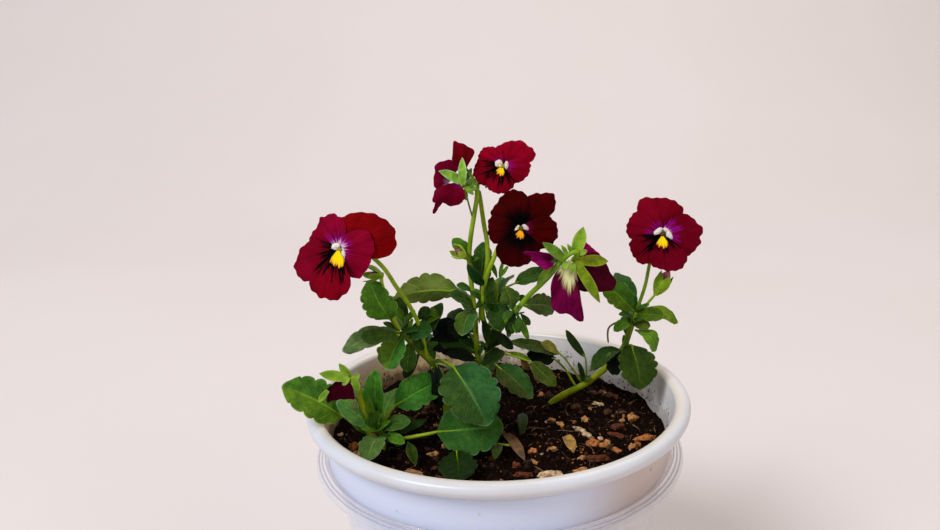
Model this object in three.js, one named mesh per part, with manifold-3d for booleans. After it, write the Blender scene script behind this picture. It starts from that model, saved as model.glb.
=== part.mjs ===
// A potted pansy: a white pot standing in a clear cover pot, filled with peat, and one clump of leafy
// stems with seven blooms and three buds. Millimetres, +Z up, the front faces -Y, and the cover pot's
// underside is at z = 0.
import * as THREE from 'three';
import { mergeVertices } from 'three/addons/utils/BufferGeometryUtils.js';
import Module from 'manifold-3d';

const wasm = await Module();
wasm.setup();

// Driving sizes of the two pots
const rimRadius = 100;
const rimHeight = 170;
const potFootRadius = 66;
const potWall = 1.5;
const potFloor = 2;
const drainRadius = 5;
const drainRing = 0.55 * potFootRadius;
const coverWall = 1.3;
const coverLipRadius = 97.7;
const coverLipHeight = 143;
const clearance = 0.3;
const potFoot = coverWall + clearance;
const roundSteps = 32;

// Driving sizes of the plant
const soilLevel = 149;
const chipCount = 16;
const chipReach = 78;
const buriedDepth = 12;
const stemRadius = 1.7;
const pedicelRadius = 1.15;
const petioleRadius = 0.85;
const tendrilRadius = 0.6;
const bladeThickness = 0.7;
const petalThickness = 0.7;

const colours = {
  pot: 0xf2efec,
  cover: 0xdfe2ea,
  soil: 0x2a1c14,
  leaf: 0x2f5a33,
  petal: 0x8c0a22,
  darkPetal: 0x2d0508,
  backPetal: 0x74104f,
  bud: 0x5c1a2a,
  deadLeaf: 0x7a5a2c,
};

function material(color, roughness, extra = {}) {
  return new THREE.MeshStandardMaterial({ color, roughness, metalness: 0, ...extra });
}

function vec(point) {
  return new THREE.Vector3(...point);
}

function solidOf(geometry) {
  const plain = geometry.clone();
  plain.deleteAttribute('normal');
  plain.deleteAttribute('uv');
  const merged = mergeVertices(plain, 1e-4);
  const vertProperties = merged.attributes.position.array;
  const triVerts = new Uint32Array(merged.index.array);
  return new wasm.Manifold(new wasm.Mesh({ numProp: 3, vertProperties, triVerts }));
}

function joined(solids) {
  return solids.reduce((whole, solid) => whole.add(solid));
}

function meshOf(name, solid, surface) {
  const { vertProperties, triVerts } = solid.getMesh();
  const geometry = new THREE.BufferGeometry();
  geometry.setAttribute('position', new THREE.BufferAttribute(vertProperties, 3));
  geometry.setIndex(new THREE.BufferAttribute(triVerts, 1));
  geometry.computeVertexNormals();
  const mesh = new THREE.Mesh(geometry, surface);
  mesh.name = name;
  return mesh;
}

// A ring-shaped or full body turned about Z from its outline of [radius, height] points.
function turned(outline, steps = roundSteps) {
  const points = outline.map(([radius, height]) => new THREE.Vector2(radius, height));
  return solidOf(new THREE.LatheGeometry(points, steps).rotateX(Math.PI / 2));
}

// A round rod of constant radius along a smooth route.
function tube(route, radius, sides = 6, steps = Math.ceil(1.5 * (route.length - 1))) {
  const corners = Array.from({ length: sides }, (unused, i) => {
    const turn = (2 * Math.PI * i) / sides;
    return new THREE.Vector2(radius * Math.cos(turn), radius * Math.sin(turn));
  });
  const extrudePath = new THREE.CatmullRomCurve3(route.map(vec));
  const options = { steps, extrudePath, bevelEnabled: false };
  return solidOf(new THREE.ExtrudeGeometry(new THREE.Shape(corners), options));
}

// An upright rod or hole between two heights.
function upright([x, y], bottom, top, radius) {
  const rod = new THREE.CylinderGeometry(radius, radius, top - bottom, 6);
  return solidOf(rod.rotateX(Math.PI / 2).translate(x, y, (top + bottom) / 2));
}

// A closed thin solid about a grid of middle points, split alike on both faces.
function sheet(rows, thickness) {
  const last = rows.length - 1;
  const across = rows[0].length;
  const at = (i, j) => rows[Math.min(Math.max(i, 0), last)][Math.min(Math.max(j, 0), across - 1)];
  const upper = [];
  const lower = [];
  rows.forEach((row, i) => row.forEach((point, j) => {
    const sideways = at(i, j + 1).clone().sub(at(i, j - 1));
    const lengthways = at(i + 1, j).clone().sub(at(i - 1, j));
    const lift = sideways.cross(lengthways).normalize().multiplyScalar(thickness / 2);
    upper.push(...point.clone().add(lift));
    lower.push(...point.clone().sub(lift));
  }));
  const under = rows.length * across;
  const faces = [];
  const edge = (a, b) => faces.push(under + a, under + b, b, under + a, b, a);
  for (let i = 0; i < last; i++) {
    for (let j = 0; j < across - 1; j++) {
      const a = i * across + j;
      const b = a + 1;
      const c = b + across;
      const d = a + across;
      faces.push(a, b, c, a, c, d);
      faces.push(under + a, under + c, under + b, under + a, under + d, under + c);
    }
    edge((i + 1) * across, i * across);
    edge((i + 1) * across - 1, (i + 2) * across - 1);
  }
  for (let j = 0; j < across - 1; j++) {
    edge(j, j + 1);
    edge(last * across + j + 1, last * across + j);
  }
  const geometry = new THREE.BufferGeometry();
  geometry.setAttribute('position', new THREE.Float32BufferAttribute([...upper, ...lower], 3));
  geometry.setIndex(faces);
  return solidOf(geometry);
}

// A thin blade from its root to its tip. The outline holds [share of length, share of width] stations.
// Arch lifts its middle, fold lifts its edges, sweep leads the edges forward, blunt rounds off the tip and
// ripple waves the edges.
function blade({
  from, to, width, face, outline, columns, arch = 0, fold = 0, sweep = 0, blunt = 0, ripple = 0, thickness,
}) {
  const root = vec(from);
  const along = vec(to).sub(root);
  const length = along.length();
  along.normalize();
  const up = vec(face);
  up.addScaledVector(along, -along.dot(up)).normalize();
  const across = along.clone().cross(up);
  const rows = outline.map(([station, spread]) => columns.map((side) => {
    const half = (width / 2) * spread;
    const forward = length * (station + side * side * (sweep * station - blunt * station ** 5));
    const rise = arch * length * Math.sin(Math.PI * station) + fold * half * Math.abs(side);
    const wave = ripple * station * station * Math.sin(2.2 * Math.PI * side + 1 + width);
    return root.clone().addScaledVector(along, forward)
      .addScaledVector(across, half * side)
      .addScaledVector(up, rise + wave);
  }));
  return sheet(rows, thickness);
}

// Leaves

// Stations down a leaf: an oval outline, widest at its belly and nipped in between its rounded teeth.
function leafOutline(teeth, belly) {
  const count = Math.max(2 * teeth, 3);
  const skew = Math.log(0.5) / Math.log(belly);
  return Array.from({ length: count + 1 }, (unused, i) => {
    const station = i / count;
    const oval = Math.sin(Math.PI * (0.06 + 0.86 * station) ** skew) ** 0.75;
    const nip = teeth > 0 && i % 2 === 0 && i < count ? 0.82 : 1;
    return [station, i === 0 ? 0.13 : oval * nip];
  });
}

// A leaf blade with its stalk, which runs on into the blade as the base of its midrib.
function leaf({ stalk = [], from, to, width, face, arch = 0.1, fold = 0.18 }) {
  const belly = stalk.length > 0 ? 0.45 : 0.58;
  const teeth = [8, 13, 18].filter((size) => width >= size).length;
  const rounded = teeth > 0 ? teeth + 1 : 0;
  const outline = leafOutline(rounded, belly);
  const columns = teeth > 1 ? [-1, 0, 1] : [-1, 1];
  const shape = { from, to, width, face, outline, columns, arch, fold, sweep: 0.05, blunt: 0.14 };
  const solid = blade({ ...shape, thickness: bladeThickness });
  if (stalk.length === 0) {
    return solid;
  }
  const inside = vec(from).lerp(vec(to), 0.1);
  return solid.add(tube([...stalk, from, [...inside]], petioleRadius, 4, stalk.length + 1));
}

const up = [0, -0.6, 0.8];
const front = [0, -0.9, 0.4];
const frontLeft = [-0.35, -0.8, 0.5];
const back = [0, 0.85, 0.5];
const backLow = [0, 0.4, 0.9];

const leftLeaves = [
  { stalk: [[-49, -8, 207]], from: [-53, -9, 214], to: [-62, -13, 236], width: 18, face: frontLeft },
  { from: [-48, -7, 206], to: [-54, -1, 225], width: 8, face: [0.2, -0.9, 0.3] },
  { from: [-47, -8, 207], to: [-76, -22, 203], width: 11, face: [-0.2, -0.5, 0.85], arch: 0.2 },
  { from: [-48, -9, 206], to: [-67, -19, 209], width: 6.5, face: up },
  { from: [-47, -8, 205], to: [-55, -20, 191], width: 15, face: frontLeft, fold: 0.35 },
  { from: [-46, -7, 204], to: [-32, -14, 209], width: 11, face: [0.1, -0.7, 0.7] },
  { from: [-44, -6, 201], to: [-46, -14, 187], width: 9, face: [0.1, -0.9, 0.4] },
  {
    stalk: [[-33, -2, 186], [-24, -12, 189]],
    from: [-22, -15, 189], to: [-6, -40, 168], width: 30, face: up,
  },
  { from: [-40, -4, 195], to: [-27, 6, 217], width: 9, face: [0, -0.5, 0.8] },
  { from: [-45, -6, 201], to: [-60, 16, 210], width: 13, face: backLow, arch: 0.16 },
  { from: [-34, -2, 188], to: [-46, 26, 192], width: 15, face: backLow, arch: 0.16 },
  { from: [-39, -4, 194], to: [-31, 20, 207], width: 11, face: backLow, arch: 0.12 },
];

const frontLeftLeaves = [
  {
    stalk: [[-61, -22, 154], [-70, -25, 162], [-76, -26, 168]],
    from: [-78, -27, 170], to: [-105, -33, 190], width: 22, face: [-0.1, -0.6, 0.8], arch: 0.08,
  },
  {
    stalk: [[-61, -23, 158]],
    from: [-61, -24, 168], to: [-60, -26, 194], width: 11, face: [-0.2, -0.95, 0.2], fold: 0.5,
  },
  { from: [-61, -23, 160], to: [-80, -29, 179], width: 10, face: [-0.2, -0.5, 0.85] },
  { from: [-60, -23, 160], to: [-44, -30, 167], width: 9, face: up },
  { from: [-60, -23, 156], to: [-64, -50, 157], width: 13, face: [-0.1, -0.7, 0.7], arch: 0.14 },
  {
    stalk: [[-60, -22, 159], [-56, -22, 168]],
    from: [-52, -21, 172], to: [-28, -12, 181], width: 18, face: [0, -0.75, 0.65],
  },
  {
    stalk: [[-60, -22, 154], [-50, -28, 157], [-36, -32, 161]],
    from: [-31, -32, 162], to: [3, -29, 164], width: 26, face: up, arch: 0.04,
  },
  {
    stalk: [[-40, -31, 160], [-30, -37, 160]],
    from: [-22, -43, 158], to: [-21, -62, 152], width: 19, face: up, arch: 0.06,
  },
  { from: [-61, -24, 162], to: [-67, -28, 184], width: 4.5, face: front },
  { from: [-59, -24, 157], to: [-47, -37, 159], width: 6, face: up },
  { from: [-60, -20, 158], to: [-80, 0, 174], width: 15, face: backLow, arch: 0.14 },
  { from: [-60, -20, 157], to: [-53, 5, 170], width: 13, face: backLow, arch: 0.14 },
];

const centreLeaves = [
  { stalk: [[-11, 4, 230]], from: [-11, 6, 240], to: [-20, 5, 253], width: 7.5, face: up },
  { stalk: [[-8, 7, 204], [-7, 8, 216]], from: [-7, 9, 224], to: [-6, 15, 247], width: 11, face: front },
  { stalk: [[-6, 5, 218]], from: [-5, 1, 226], to: [-13, -4, 241], width: 5.5, face: [-0.3, -0.9, 0.3] },
  { stalk: [[-10, 5, 216]], from: [-18, 6, 223], to: [-48, -2, 229], width: 20, face: [0.1, 0.9, 0.43] },
  { from: [-10, 5, 213], to: [-23, -6, 225], width: 9, face: [-0.1, -0.6, 0.8] },
  { from: [-10, 5, 212], to: [-17, -13, 205], width: 12, face: [-0.3, -0.8, 0.5], arch: 0.2 },
  { from: [-9, 8, 187], to: [-33, 13, 200], width: 15, face: [0, -0.7, 0.7] },
  { from: [-10, 6, 199], to: [-24, 20, 207], width: 13, face: up },
  { from: [1, 9, 214], to: [31, 15, 232], width: 10, face: [0, -0.5, 0.85] },
  { from: [0, 10, 210], to: [16, 15, 219], width: 11, face: back },
  { stalk: [[9, 0, 210]], from: [13, 2, 214], to: [32, 9, 212], width: 13, face: back },
  { from: [11, -2, 213], to: [17, -5, 199], width: 3.5, face: front },
  { from: [-1, 11, 205], to: [8, 4, 217], width: 7, face: front },
  {
    stalk: [[-7, 10, 180], [-3, 5, 184]],
    from: [1, 2, 182], to: [18, -12, 169], width: 14, face: [0.1, -0.8, 0.6],
  },
  { from: [-1, 9, 210], to: [-3, 3, 227], width: 6, face: front },
  { stalk: [[-4, 12, 186], [6, 6, 187]], from: [19, 6, 182], to: [32, 3, 169], width: 9, face: front },
  { from: [-9, 8, 184], to: [-32, 31, 199], width: 15, face: backLow, arch: 0.14 },
  { from: [-4, 12, 187], to: [18, 40, 199], width: 15, face: backLow, arch: 0.14 },
  { from: [-2, 10, 202], to: [6, 38, 221], width: 13, face: backLow, arch: 0.12 },
  { from: [-10, 6, 198], to: [-24, 31, 221], width: 12, face: backLow, arch: 0.12 },
  { from: [1, 9, 214], to: [20, 27, 236], width: 11, face: backLow },
  { from: [-8, 14, 163], to: [2, 46, 172], width: 17, face: backLow, arch: 0.16 },
  { from: [-9, 12, 160], to: [-38, 37, 169], width: 17, face: backLow, arch: 0.16 },
];

const rightLeaves = [
  {
    stalk: [[51, 20, 163], [51, 19, 172]],
    from: [50, 18, 179], to: [39, 14, 197], width: 5.5, face: front, arch: -0.12,
  },
  { from: [50, 21, 163], to: [46, 16, 177], width: 3.5, face: front },
  { from: [70, 14, 184], to: [51, 4, 176], width: 11, face: [-0.2, -0.7, 0.7], arch: 0.22 },
  { from: [70, 14, 183], to: [62, 6, 178], width: 5, face: frontLeft },
  { from: [69, 15, 181], to: [60, 3, 174], width: 8, face: [-0.2, -0.9, 0.4], arch: 0.16 },
  {
    stalk: [[70, 14, 184]],
    from: [73, 11, 187], to: [76, -4, 168], width: 20, face: [0.1, -0.9, 0.4], arch: 0.12,
  },
  { from: [76, 12, 206], to: [59, 15, 223], width: 14, face: [-0.2, -0.8, 0.5] },
  { from: [77, 12, 206], to: [99, 8, 200], width: 7.5, face: [0, -0.5, 0.85], arch: 0.18 },
  { from: [76, 12, 205], to: [89, 2, 207], width: 7, face: up },
  { from: [74, 12, 199], to: [63, 4, 199], width: 6, face: up, arch: 0.25 },
  { from: [74, 12, 200], to: [84, 5, 200], width: 5, face: up },
  {
    stalk: [[74, 12, 197], [80, 11, 198]],
    from: [84, 9, 195], to: [86, 5, 184], width: 5.5, face: [0.7, -0.5, 0.5], arch: 0.12,
  },
  {
    stalk: [[49, 21, 162], [42, 18, 174]],
    from: [36, 17, 182], to: [8, 17, 190], width: 8, face: up, arch: 0.05,
  },
  { stalk: [[46, 22, 159], [40, 25, 170]], from: [35, 24, 176], to: [18, 22, 182], width: 9, face: up },
  { from: [62, 18, 170], to: [58, 43, 183], width: 13, face: backLow, arch: 0.16 },
  { from: [72, 13, 191], to: [84, 36, 200], width: 13, face: backLow, arch: 0.14 },
  { from: [76, 12, 205], to: [70, 35, 222], width: 11, face: backLow, arch: 0.1 },
];

// Blooms

const petalOutline = [[0, 0.1], [0.44, 0.94], [1, 0.84]];
const petalColumns = [-1, -0.36, 0.36, 1];
const clawRadius = 1.5;
const throatBack = 3.3;
const throatOutline = [[0, -throatBack], [1.5, -throatBack], [2.6, -0.2], [2.2, 2.2], [0, 2.7]];
const calyxDepth = 2.4;
const calyxRadius = 1.9;
const calyxFront = -throatBack - clearance;
const sepalLevel = calyxFront - calyxDepth / 2;
const sepalRoot = 0.72 * calyxRadius;
const sepalOutline = [[0, 0.42], [0.5, 1], [1, 0.2]];

function placeAt({ centre, face }) {
  const outward = vec(face).normalize();
  const right = new THREE.Vector3(0, 0, 1).cross(outward).normalize();
  const top = outward.clone().cross(right);
  return new THREE.Matrix4().makeBasis(right, top, outward).setPosition(vec(centre));
}

function aroundAxis(angle, reach) {
  const turn = THREE.MathUtils.degToRad(angle);
  return [reach * Math.cos(turn), reach * Math.sin(turn)];
}

function toWorld(bloom, x, y, z) {
  return [...new THREE.Vector3(x, y, z).applyMatrix4(placeAt(bloom))];
}

const petalFan = {
  outline: petalOutline, columns: petalColumns, sweep: -0.18, ripple: 0.3, thickness: petalThickness,
};

// A petal is given by its two ends, or by its angle about the bloom's axis.
function petal(bloom, shape) {
  if (shape.from) {
    return blade({ face: bloom.face, arch: 0.06, ...petalFan, ...shape });
  }
  const { angle, length, width, layer, curl = 0.12 } = shape;
  const from = toWorld(bloom, ...aroundAxis(angle, clawRadius), layer);
  const to = toWorld(bloom, ...aroundAxis(angle, length), layer - curl * length);
  return blade({ from, to, width, face: bloom.face, arch: 0.08, ...petalFan });
}

// The corolla: a short throat, and the petals whose claws are sunk in it.
function corolla(bloom) {
  const points = throatOutline.map(([radius, height]) => new THREE.Vector2(radius, height));
  const throat = new THREE.LatheGeometry(points, 6).rotateX(Math.PI / 2).applyMatrix4(placeAt(bloom));
  return joined([solidOf(throat), ...bloom.petals.map((shape) => petal(bloom, shape))]);
}

// A flat star of five sepals, for a bloom that is fully open.
function sepalStar(bloom) {
  const corners = [[0, 1.6], [24, 6.5], [36, 10.8], [48, 6.5]];
  const outline = [54, 126, 198, 270, 342].flatMap((arm) => (
    corners.map(([angle, reach]) => new THREE.Vector2(...aroundAxis(arm + angle, reach)))
  ));
  const options = { depth: bladeThickness, bevelEnabled: false };
  const plate = new THREE.ExtrudeGeometry(new THREE.Shape(outline), options);
  return solidOf(plate.translate(0, 0, sepalLevel - bladeThickness / 2).applyMatrix4(placeAt(bloom)));
}

// A sepal that reaches to a point, or lies at an angle about the axis and leans off it by its spread.
function sepal(bloom, { angle, length, spread, to, width = 3.6 }) {
  const lean = THREE.MathUtils.degToRad(spread ?? 90);
  const height = sepalLevel + length * Math.cos(lean);
  const tip = to ?? toWorld(bloom, ...aroundAxis(angle, sepalRoot + length * Math.sin(lean)), height);
  const local = vec(tip).applyMatrix4(placeAt(bloom).invert());
  const turn = THREE.MathUtils.radToDeg(Math.atan2(local.y, local.x));
  const from = toWorld(bloom, ...aroundAxis(turn, sepalRoot), sepalLevel);
  const inward = vec(toWorld(bloom, 0, 0, local.z)).sub(vec(tip)).toArray();
  const upright = local.z > sepalLevel + 4;
  const face = bloom.sepalFace ?? (upright ? inward : bloom.face);
  const shape = { from, to: tip, width, face, outline: sepalOutline, columns: [-1, 1] };
  return blade({ ...shape, thickness: bladeThickness });
}

// The green seat behind a corolla, with its pointed sepals.
function calyx(bloom) {
  const seat = new THREE.CylinderGeometry(calyxRadius, calyxRadius * 0.75, calyxDepth, 5);
  seat.rotateX(Math.PI / 2).translate(0, 0, sepalLevel).applyMatrix4(placeAt(bloom));
  const sepals = bloom.sepals ? bloom.sepals.map((shape) => sepal(bloom, shape)) : [sepalStar(bloom)];
  return joined([solidOf(seat), ...sepals]);
}

// The stalk of a bloom, from its stem to the middle of its calyx.
function pedicel(bloom) {
  const end = toWorld(bloom, 0, 0, calyxFront - 0.6 * calyxDepth);
  return tube([...bloom.stalk, end], pedicelRadius, 5);
}

const leftBloom = {
  centre: [-72, -36, 253],
  face: [-0.3, -0.93, 0.2],
  stalk: [
    [-36, -4, 190], [-38, -8, 207], [-42, -14, 221], [-48, -20, 234], [-53, -25, 245], [-60, -28, 253],
    [-67, -29, 255],
  ],
  petals: [
    { angle: 112, length: 22, width: 22, layer: -0.5 },
    { angle: 33, length: 31, width: 28, layer: -1.7, curl: 0.14 },
    { angle: 190, length: 21, width: 23, layer: 0.7 },
    { angle: 14, length: 18, width: 24, layer: 0.7 },
    { angle: 266, length: 20, width: 23, layer: 1.9 },
  ],
};

const topBloom = {
  centre: [4, 4, 286],
  face: [0.05, -0.98, 0.18],
  stalk: [
    [-10, 5, 212], [-11, 4, 224], [-12, 3, 239], [-11, 2, 251], [-9, 1, 262], [-7, 2, 272], [-6, 6, 280],
    [-2, 10, 285],
  ],
  petals: [
    { angle: 126, length: 15, width: 19, layer: -0.5 },
    { angle: 38, length: 20, width: 24, layer: -1.7 },
    { angle: 188, length: 14, width: 17, layer: 0.7 },
    { angle: 346, length: 15, width: 18, layer: 0.7 },
    { angle: 268, length: 13, width: 20, layer: 1.9 },
  ],
};

const darkBloom = {
  centre: [13, -12, 257],
  face: [0, -0.97, 0.22],
  stalk: [[-6, 5, 215], [-4, 3, 229], [0, 0, 240], [4, -1, 249], [9, -3, 256]],
  petals: [
    { angle: 112, length: 21, width: 21, layer: -0.5 },
    { angle: 50, length: 24, width: 19, layer: -1.7 },
    { angle: 180, length: 16, width: 20, layer: 0.7 },
    { angle: 4, length: 19, width: 19, layer: 0.7 },
    { angle: 268, length: 18, width: 24, layer: 1.9 },
  ],
};

const rightBloom = {
  centre: [87, 3, 247],
  face: [-0.1, -0.97, 0.2],
  stalk: [[76, 12, 204], [81, 12, 220], [83, 12, 231], [85, 12, 240], [87, 10, 246]],
  petals: [
    { angle: 106, length: 21, width: 27, layer: -0.5 },
    { angle: 46, length: 22, width: 25, layer: -1.7 },
    { angle: 184, length: 17, width: 23, layer: 0.7 },
    { angle: 2, length: 21, width: 22, layer: 0.7 },
    { angle: 276, length: 16, width: 26, layer: 1.9 },
  ],
};

// A fading bloom seen from its side, its petals folded.
const sideBloom = {
  centre: [-18, 1, 280],
  face: [-0.93, -0.32, 0.16],
  sepalFace: front,
  stalk: [[-11, 1, 262], [-12, 3, 270], [-10, 4, 277]],
  sepals: [
    { to: [-12, -6, 294] },
    { to: [-25, -13, 289] },
    { to: [-9, 9, 287] },
    { to: [-12, 6, 271] },
    { to: [-14, -5, 271] },
  ],
  petals: [
    { from: [-18, 2, 281], to: [-13, 8, 301], width: 13, face: [-0.5, -0.8, 0] },
    { from: [-19, 0, 281], to: [-27, -4, 290], width: 13, face: [-0.5, -0.8, 0.3] },
    { from: [-18, 1, 279], to: [-22, -4, 269], width: 15, face: [-0.4, -0.9, 0] },
    { from: [-19, 2, 280], to: [-30, 4, 284], width: 12, face: [-0.3, -0.2, 0.9] },
    { from: [-19, 2, 279], to: [-29, 0, 265], width: 7, face: [-0.6, -0.4, 0.6] },
  ],
};

// A bloom seen from behind, hanging forward over its calyx.
const backBloom = {
  centre: [39, -9, 239],
  face: [-0.28, 0.6, -0.75],
  sepalFace: front,
  stalk: [
    [9, 0, 209], [13, -3, 216], [18, -6, 223], [26, -10, 232], [32, -13, 240], [37, -16, 246],
    [41, -16, 247],
  ],
  sepals: [
    { angle: 95, length: 12, spread: 84 },
    { angle: 28, length: 11, spread: 100 },
    { angle: 165, length: 12, spread: 100 },
    { angle: 235, length: 13, spread: 96 },
    { angle: 310, length: 12, spread: 96 },
  ],
  petals: [
    { from: [38, -8, 238], to: [37, -11, 212], width: 17, face: [0.1, -0.95, 0.3], arch: 0.1 },
    { from: [40, -8, 239], to: [63, 0, 226], width: 18, face: [0.2, -0.8, 0.5], arch: 0.1 },
    { from: [38, -7, 239], to: [15, -2, 246], width: 11, face: [0, -0.9, 0.4], arch: 0.06 },
    { from: [39, -8, 239], to: [56, 5, 243], width: 13, face: [0.1, -0.7, 0.6], arch: 0.08 },
    { from: [38, -8, 238], to: [30, 9, 226], width: 14, face: [-0.2, -0.5, 0.8], arch: 0.08 },
  ],
};

// A young bloom still half closed, nodding low at the left.
const noddingBloom = {
  centre: [-76, -39, 190],
  face: [-0.75, -0.35, -0.55],
  sepalFace: front,
  stalk: [[-60, -23, 160], [-65, -26, 168], [-67, -32, 181], [-68, -36, 191], [-70, -37, 195]],
  sepals: [
    { to: [-85, -38, 199] },
    { to: [-76, -33, 202] },
    { to: [-68, -35, 175] },
  ],
  petals: [
    { from: [-77, -40, 189], to: [-85, -42, 190], width: 8, face: [0, -0.8, 0.6] },
    { from: [-77, -41, 188], to: [-83, -45, 183], width: 9, face: [0, -0.9, 0.3] },
    { from: [-76, -41, 188], to: [-72, -43, 182], width: 9, face: [0.2, -0.9, 0.2] },
  ],
};

// Buds

const centreBud = {
  centre: [-15, -2, 245],
  face: [-0.65, -0.5, 0.6],
  stalk: [[-11, 4, 236], [-11, 4, 239]],
  length: 5.5,
  radius: 1.8,
  sepals: [60, 132, 204, 276, 348].map((angle) => ({ angle, length: 8, width: 2.6, spread: 26 })),
};

const rightBud = {
  centre: [87, 12, 218],
  face: [0.5, -0.1, 0.85],
  stalk: [[76, 12, 202], [79, 12, 206]],
  length: 8,
  radius: 2.2,
  sepals: [60, 132, 204, 276, 348].map((angle) => ({ angle, length: 12, width: 3.2, spread: 24 })),
};

const leftBud = {
  centre: [-60, -16, 240],
  face: [-0.85, -0.4, 0.3],
  stalk: [[-48, -8, 207], [-52, -10, 219], [-54, -12, 230]],
  length: 6,
  radius: 2.2,
  sepals: [60, 132, 204, 276, 348].map((angle) => ({ angle, length: 9, width: 3, spread: 24 })),
};

// The rolled petals of a bud, standing in their calyx or, with a sink, grown to it.
function budTip(bud, sink = 0) {
  const tip = new THREE.SphereGeometry(bud.radius, 7, 5).rotateX(Math.PI / 2);
  tip.scale(1, 1, bud.length / (2 * bud.radius)).translate(0, 0, bud.length / 2 - throatBack - sink);
  return solidOf(tip.applyMatrix4(placeAt(bud)));
}

// Stems

// A stem stands in the soil on an upright end, and carries what is listed for it.
function leafyStem({ foot, routes, leaves, blooms, extra = [] }) {
  return joined([
    upright(foot, soilLevel - buriedDepth, soilLevel + 3, stemRadius),
    ...routes.map((route) => tube(route, stemRadius)),
    ...leaves.map(leaf),
    ...blooms.map((bloom) => pedicel(bloom)),
    ...blooms.map(calyx),
    ...extra,
  ]);
}

const leftFoot = [-27, 5];
const frontLeftFoot = [-60, -20];
const centreFoot = [-8, 14];
const rightFoot = [30, 26];

function stemLeft() {
  const routes = [[[-27, 5, 151], [-28, 3, 172], [-33, -2, 186], [-39, -4, 194], [-49, -8, 207]]];
  return leafyStem({
    foot: leftFoot, routes, leaves: leftLeaves, blooms: [leftBloom, leftBud], extra: [budTip(leftBud, 1.5)],
  });
}

function stemFrontLeft() {
  const routes = [[[-60, -20, 150], [-60, -21, 155], [-60, -23, 161]]];
  return leafyStem({ foot: frontLeftFoot, routes, leaves: frontLeftLeaves, blooms: [noddingBloom] });
}

function stemCentre() {
  const routes = [
    [[-8, 14, 150], [-9, 13, 160], [-9, 9, 180], [-10, 6, 198], [-10, 5, 213]],
    [[-8, 14, 150], [-6, 14, 166], [-4, 12, 188], [-2, 10, 202], [1, 9, 214]],
    [[-4, 12, 186], [1, 8, 197], [6, 3, 206], [10, -1, 212]],
    [[-3, 11, 196], [-6, 8, 208], [-6, 6, 218]],
  ];
  const blooms = [topBloom, darkBloom, sideBloom, backBloom, centreBud];
  return leafyStem({ foot: centreFoot, routes, leaves: centreLeaves, blooms });
}

function stemRight() {
  const routes = [[
    [30, 26, 150], [36, 24, 156], [45, 22, 160], [53, 20, 165], [62, 18, 171], [68, 16, 178],
    [71, 14, 186], [74, 12, 197], [77, 12, 207],
  ]];
  const tendril = tube([[74, 12, 200], [66, 9, 202], [61, 7, 199], [60, 5, 191]], tendrilRadius, 5, 7);
  const blooms = [rightBloom, rightBud];
  return leafyStem({ foot: rightFoot, routes, leaves: rightLeaves, blooms, extra: [tendril] });
}

// Pots

// The white pot: a tapered wall with a shoulder under its band, and a rolled rim.
const potWallOutline = [[potFootRadius, potFoot], [84.6, 139], [89.6, 143.5], [92.5, rimHeight - 10]];

function whitePot() {
  const outside = potWallOutline;
  const rim = [[98, 161.5], [99.6, 164], [rimRadius, 166.5], [99, 169], [96.6, rimHeight], [94.3, 169.6]];
  const inside = outside.slice(1).map(([radius, height]) => [radius - potWall, height]).reverse();
  const floor = [[potFootRadius - potWall, potFoot + potFloor], [0, potFoot + potFloor]];
  const body = turned([[0, potFoot], ...outside, ...rim, ...inside, ...floor]);
  const holes = [45, 135, 225, 315].map((angle) => (
    upright(aroundAxis(angle, drainRing), potFoot - 1, potFoot + potFloor + 1, drainRadius)
  ));
  return holes.reduce((pot, hole) => pot.subtract(hole), body);
}

// The clear cover pot: a plain body under a grooved lip that flares out.
function coverPot() {
  const outside = [[68.2, 0], [86.9, 133.5], [95.5, 137.6], [coverLipRadius, 139.6], [coverLipRadius, 141]];
  const lip = [[96, 142.2], [94.8, 141.9], [93.6, coverLipHeight], [92.6, coverLipHeight]];
  const inside = [[90.6, 141], [85.6, 135.4], [66.9, coverWall], [0, coverWall]];
  return turned([[0, 0], ...outside, ...lip, ...inside]);
}

// Soil

function seededRandom(seed) {
  let state = seed;
  return () => {
    state = (state * 16807) % 2147483647;
    return state / 2147483647;
  };
}

function soilHeight(x, y) {
  const mound = 1.6 * Math.exp(-((x + 20) ** 2 + (y - 4) ** 2) / 1800);
  return soilLevel - 1 + mound + 0.4 * Math.sin(0.1 * x + 1) * Math.cos(0.09 * y);
}

// Peat that fills the pot, its top in rings whose heights follow the mound.
function peat() {
  const bottom = potFoot + potFloor + clearance;
  const [foot, shoulder, edge] = potWallOutline.map(([radius]) => radius - potWall - clearance);
  const rings = [edge, 79, 66, 50, 33, 16, 0].map((radius) => [radius, soilLevel]);
  const outline = [[0, bottom], [foot, bottom], [shoulder, potWallOutline[1][1]], ...rings];
  const points = outline.map(([radius, height]) => new THREE.Vector2(radius, height));
  const body = new THREE.LatheGeometry(points, roundSteps).rotateX(Math.PI / 2);
  const place = body.attributes.position;
  for (let i = 0; i < place.count; i++) {
    if (place.getZ(i) > soilLevel - 0.01) {
      place.setZ(i, soilHeight(place.getX(i), place.getY(i)));
    }
  }
  return solidOf(body);
}

// A bark chip or pebble, half sunk in the peat.
function chip(x, y, size, flatness, turn, tilt) {
  const body = new THREE.IcosahedronGeometry(size / 2).scale(1, 0.6, flatness);
  body.rotateX(tilt).rotateZ(turn).translate(x, y, soilHeight(x, y) + 0.15 * size);
  return solidOf(body);
}

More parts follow.
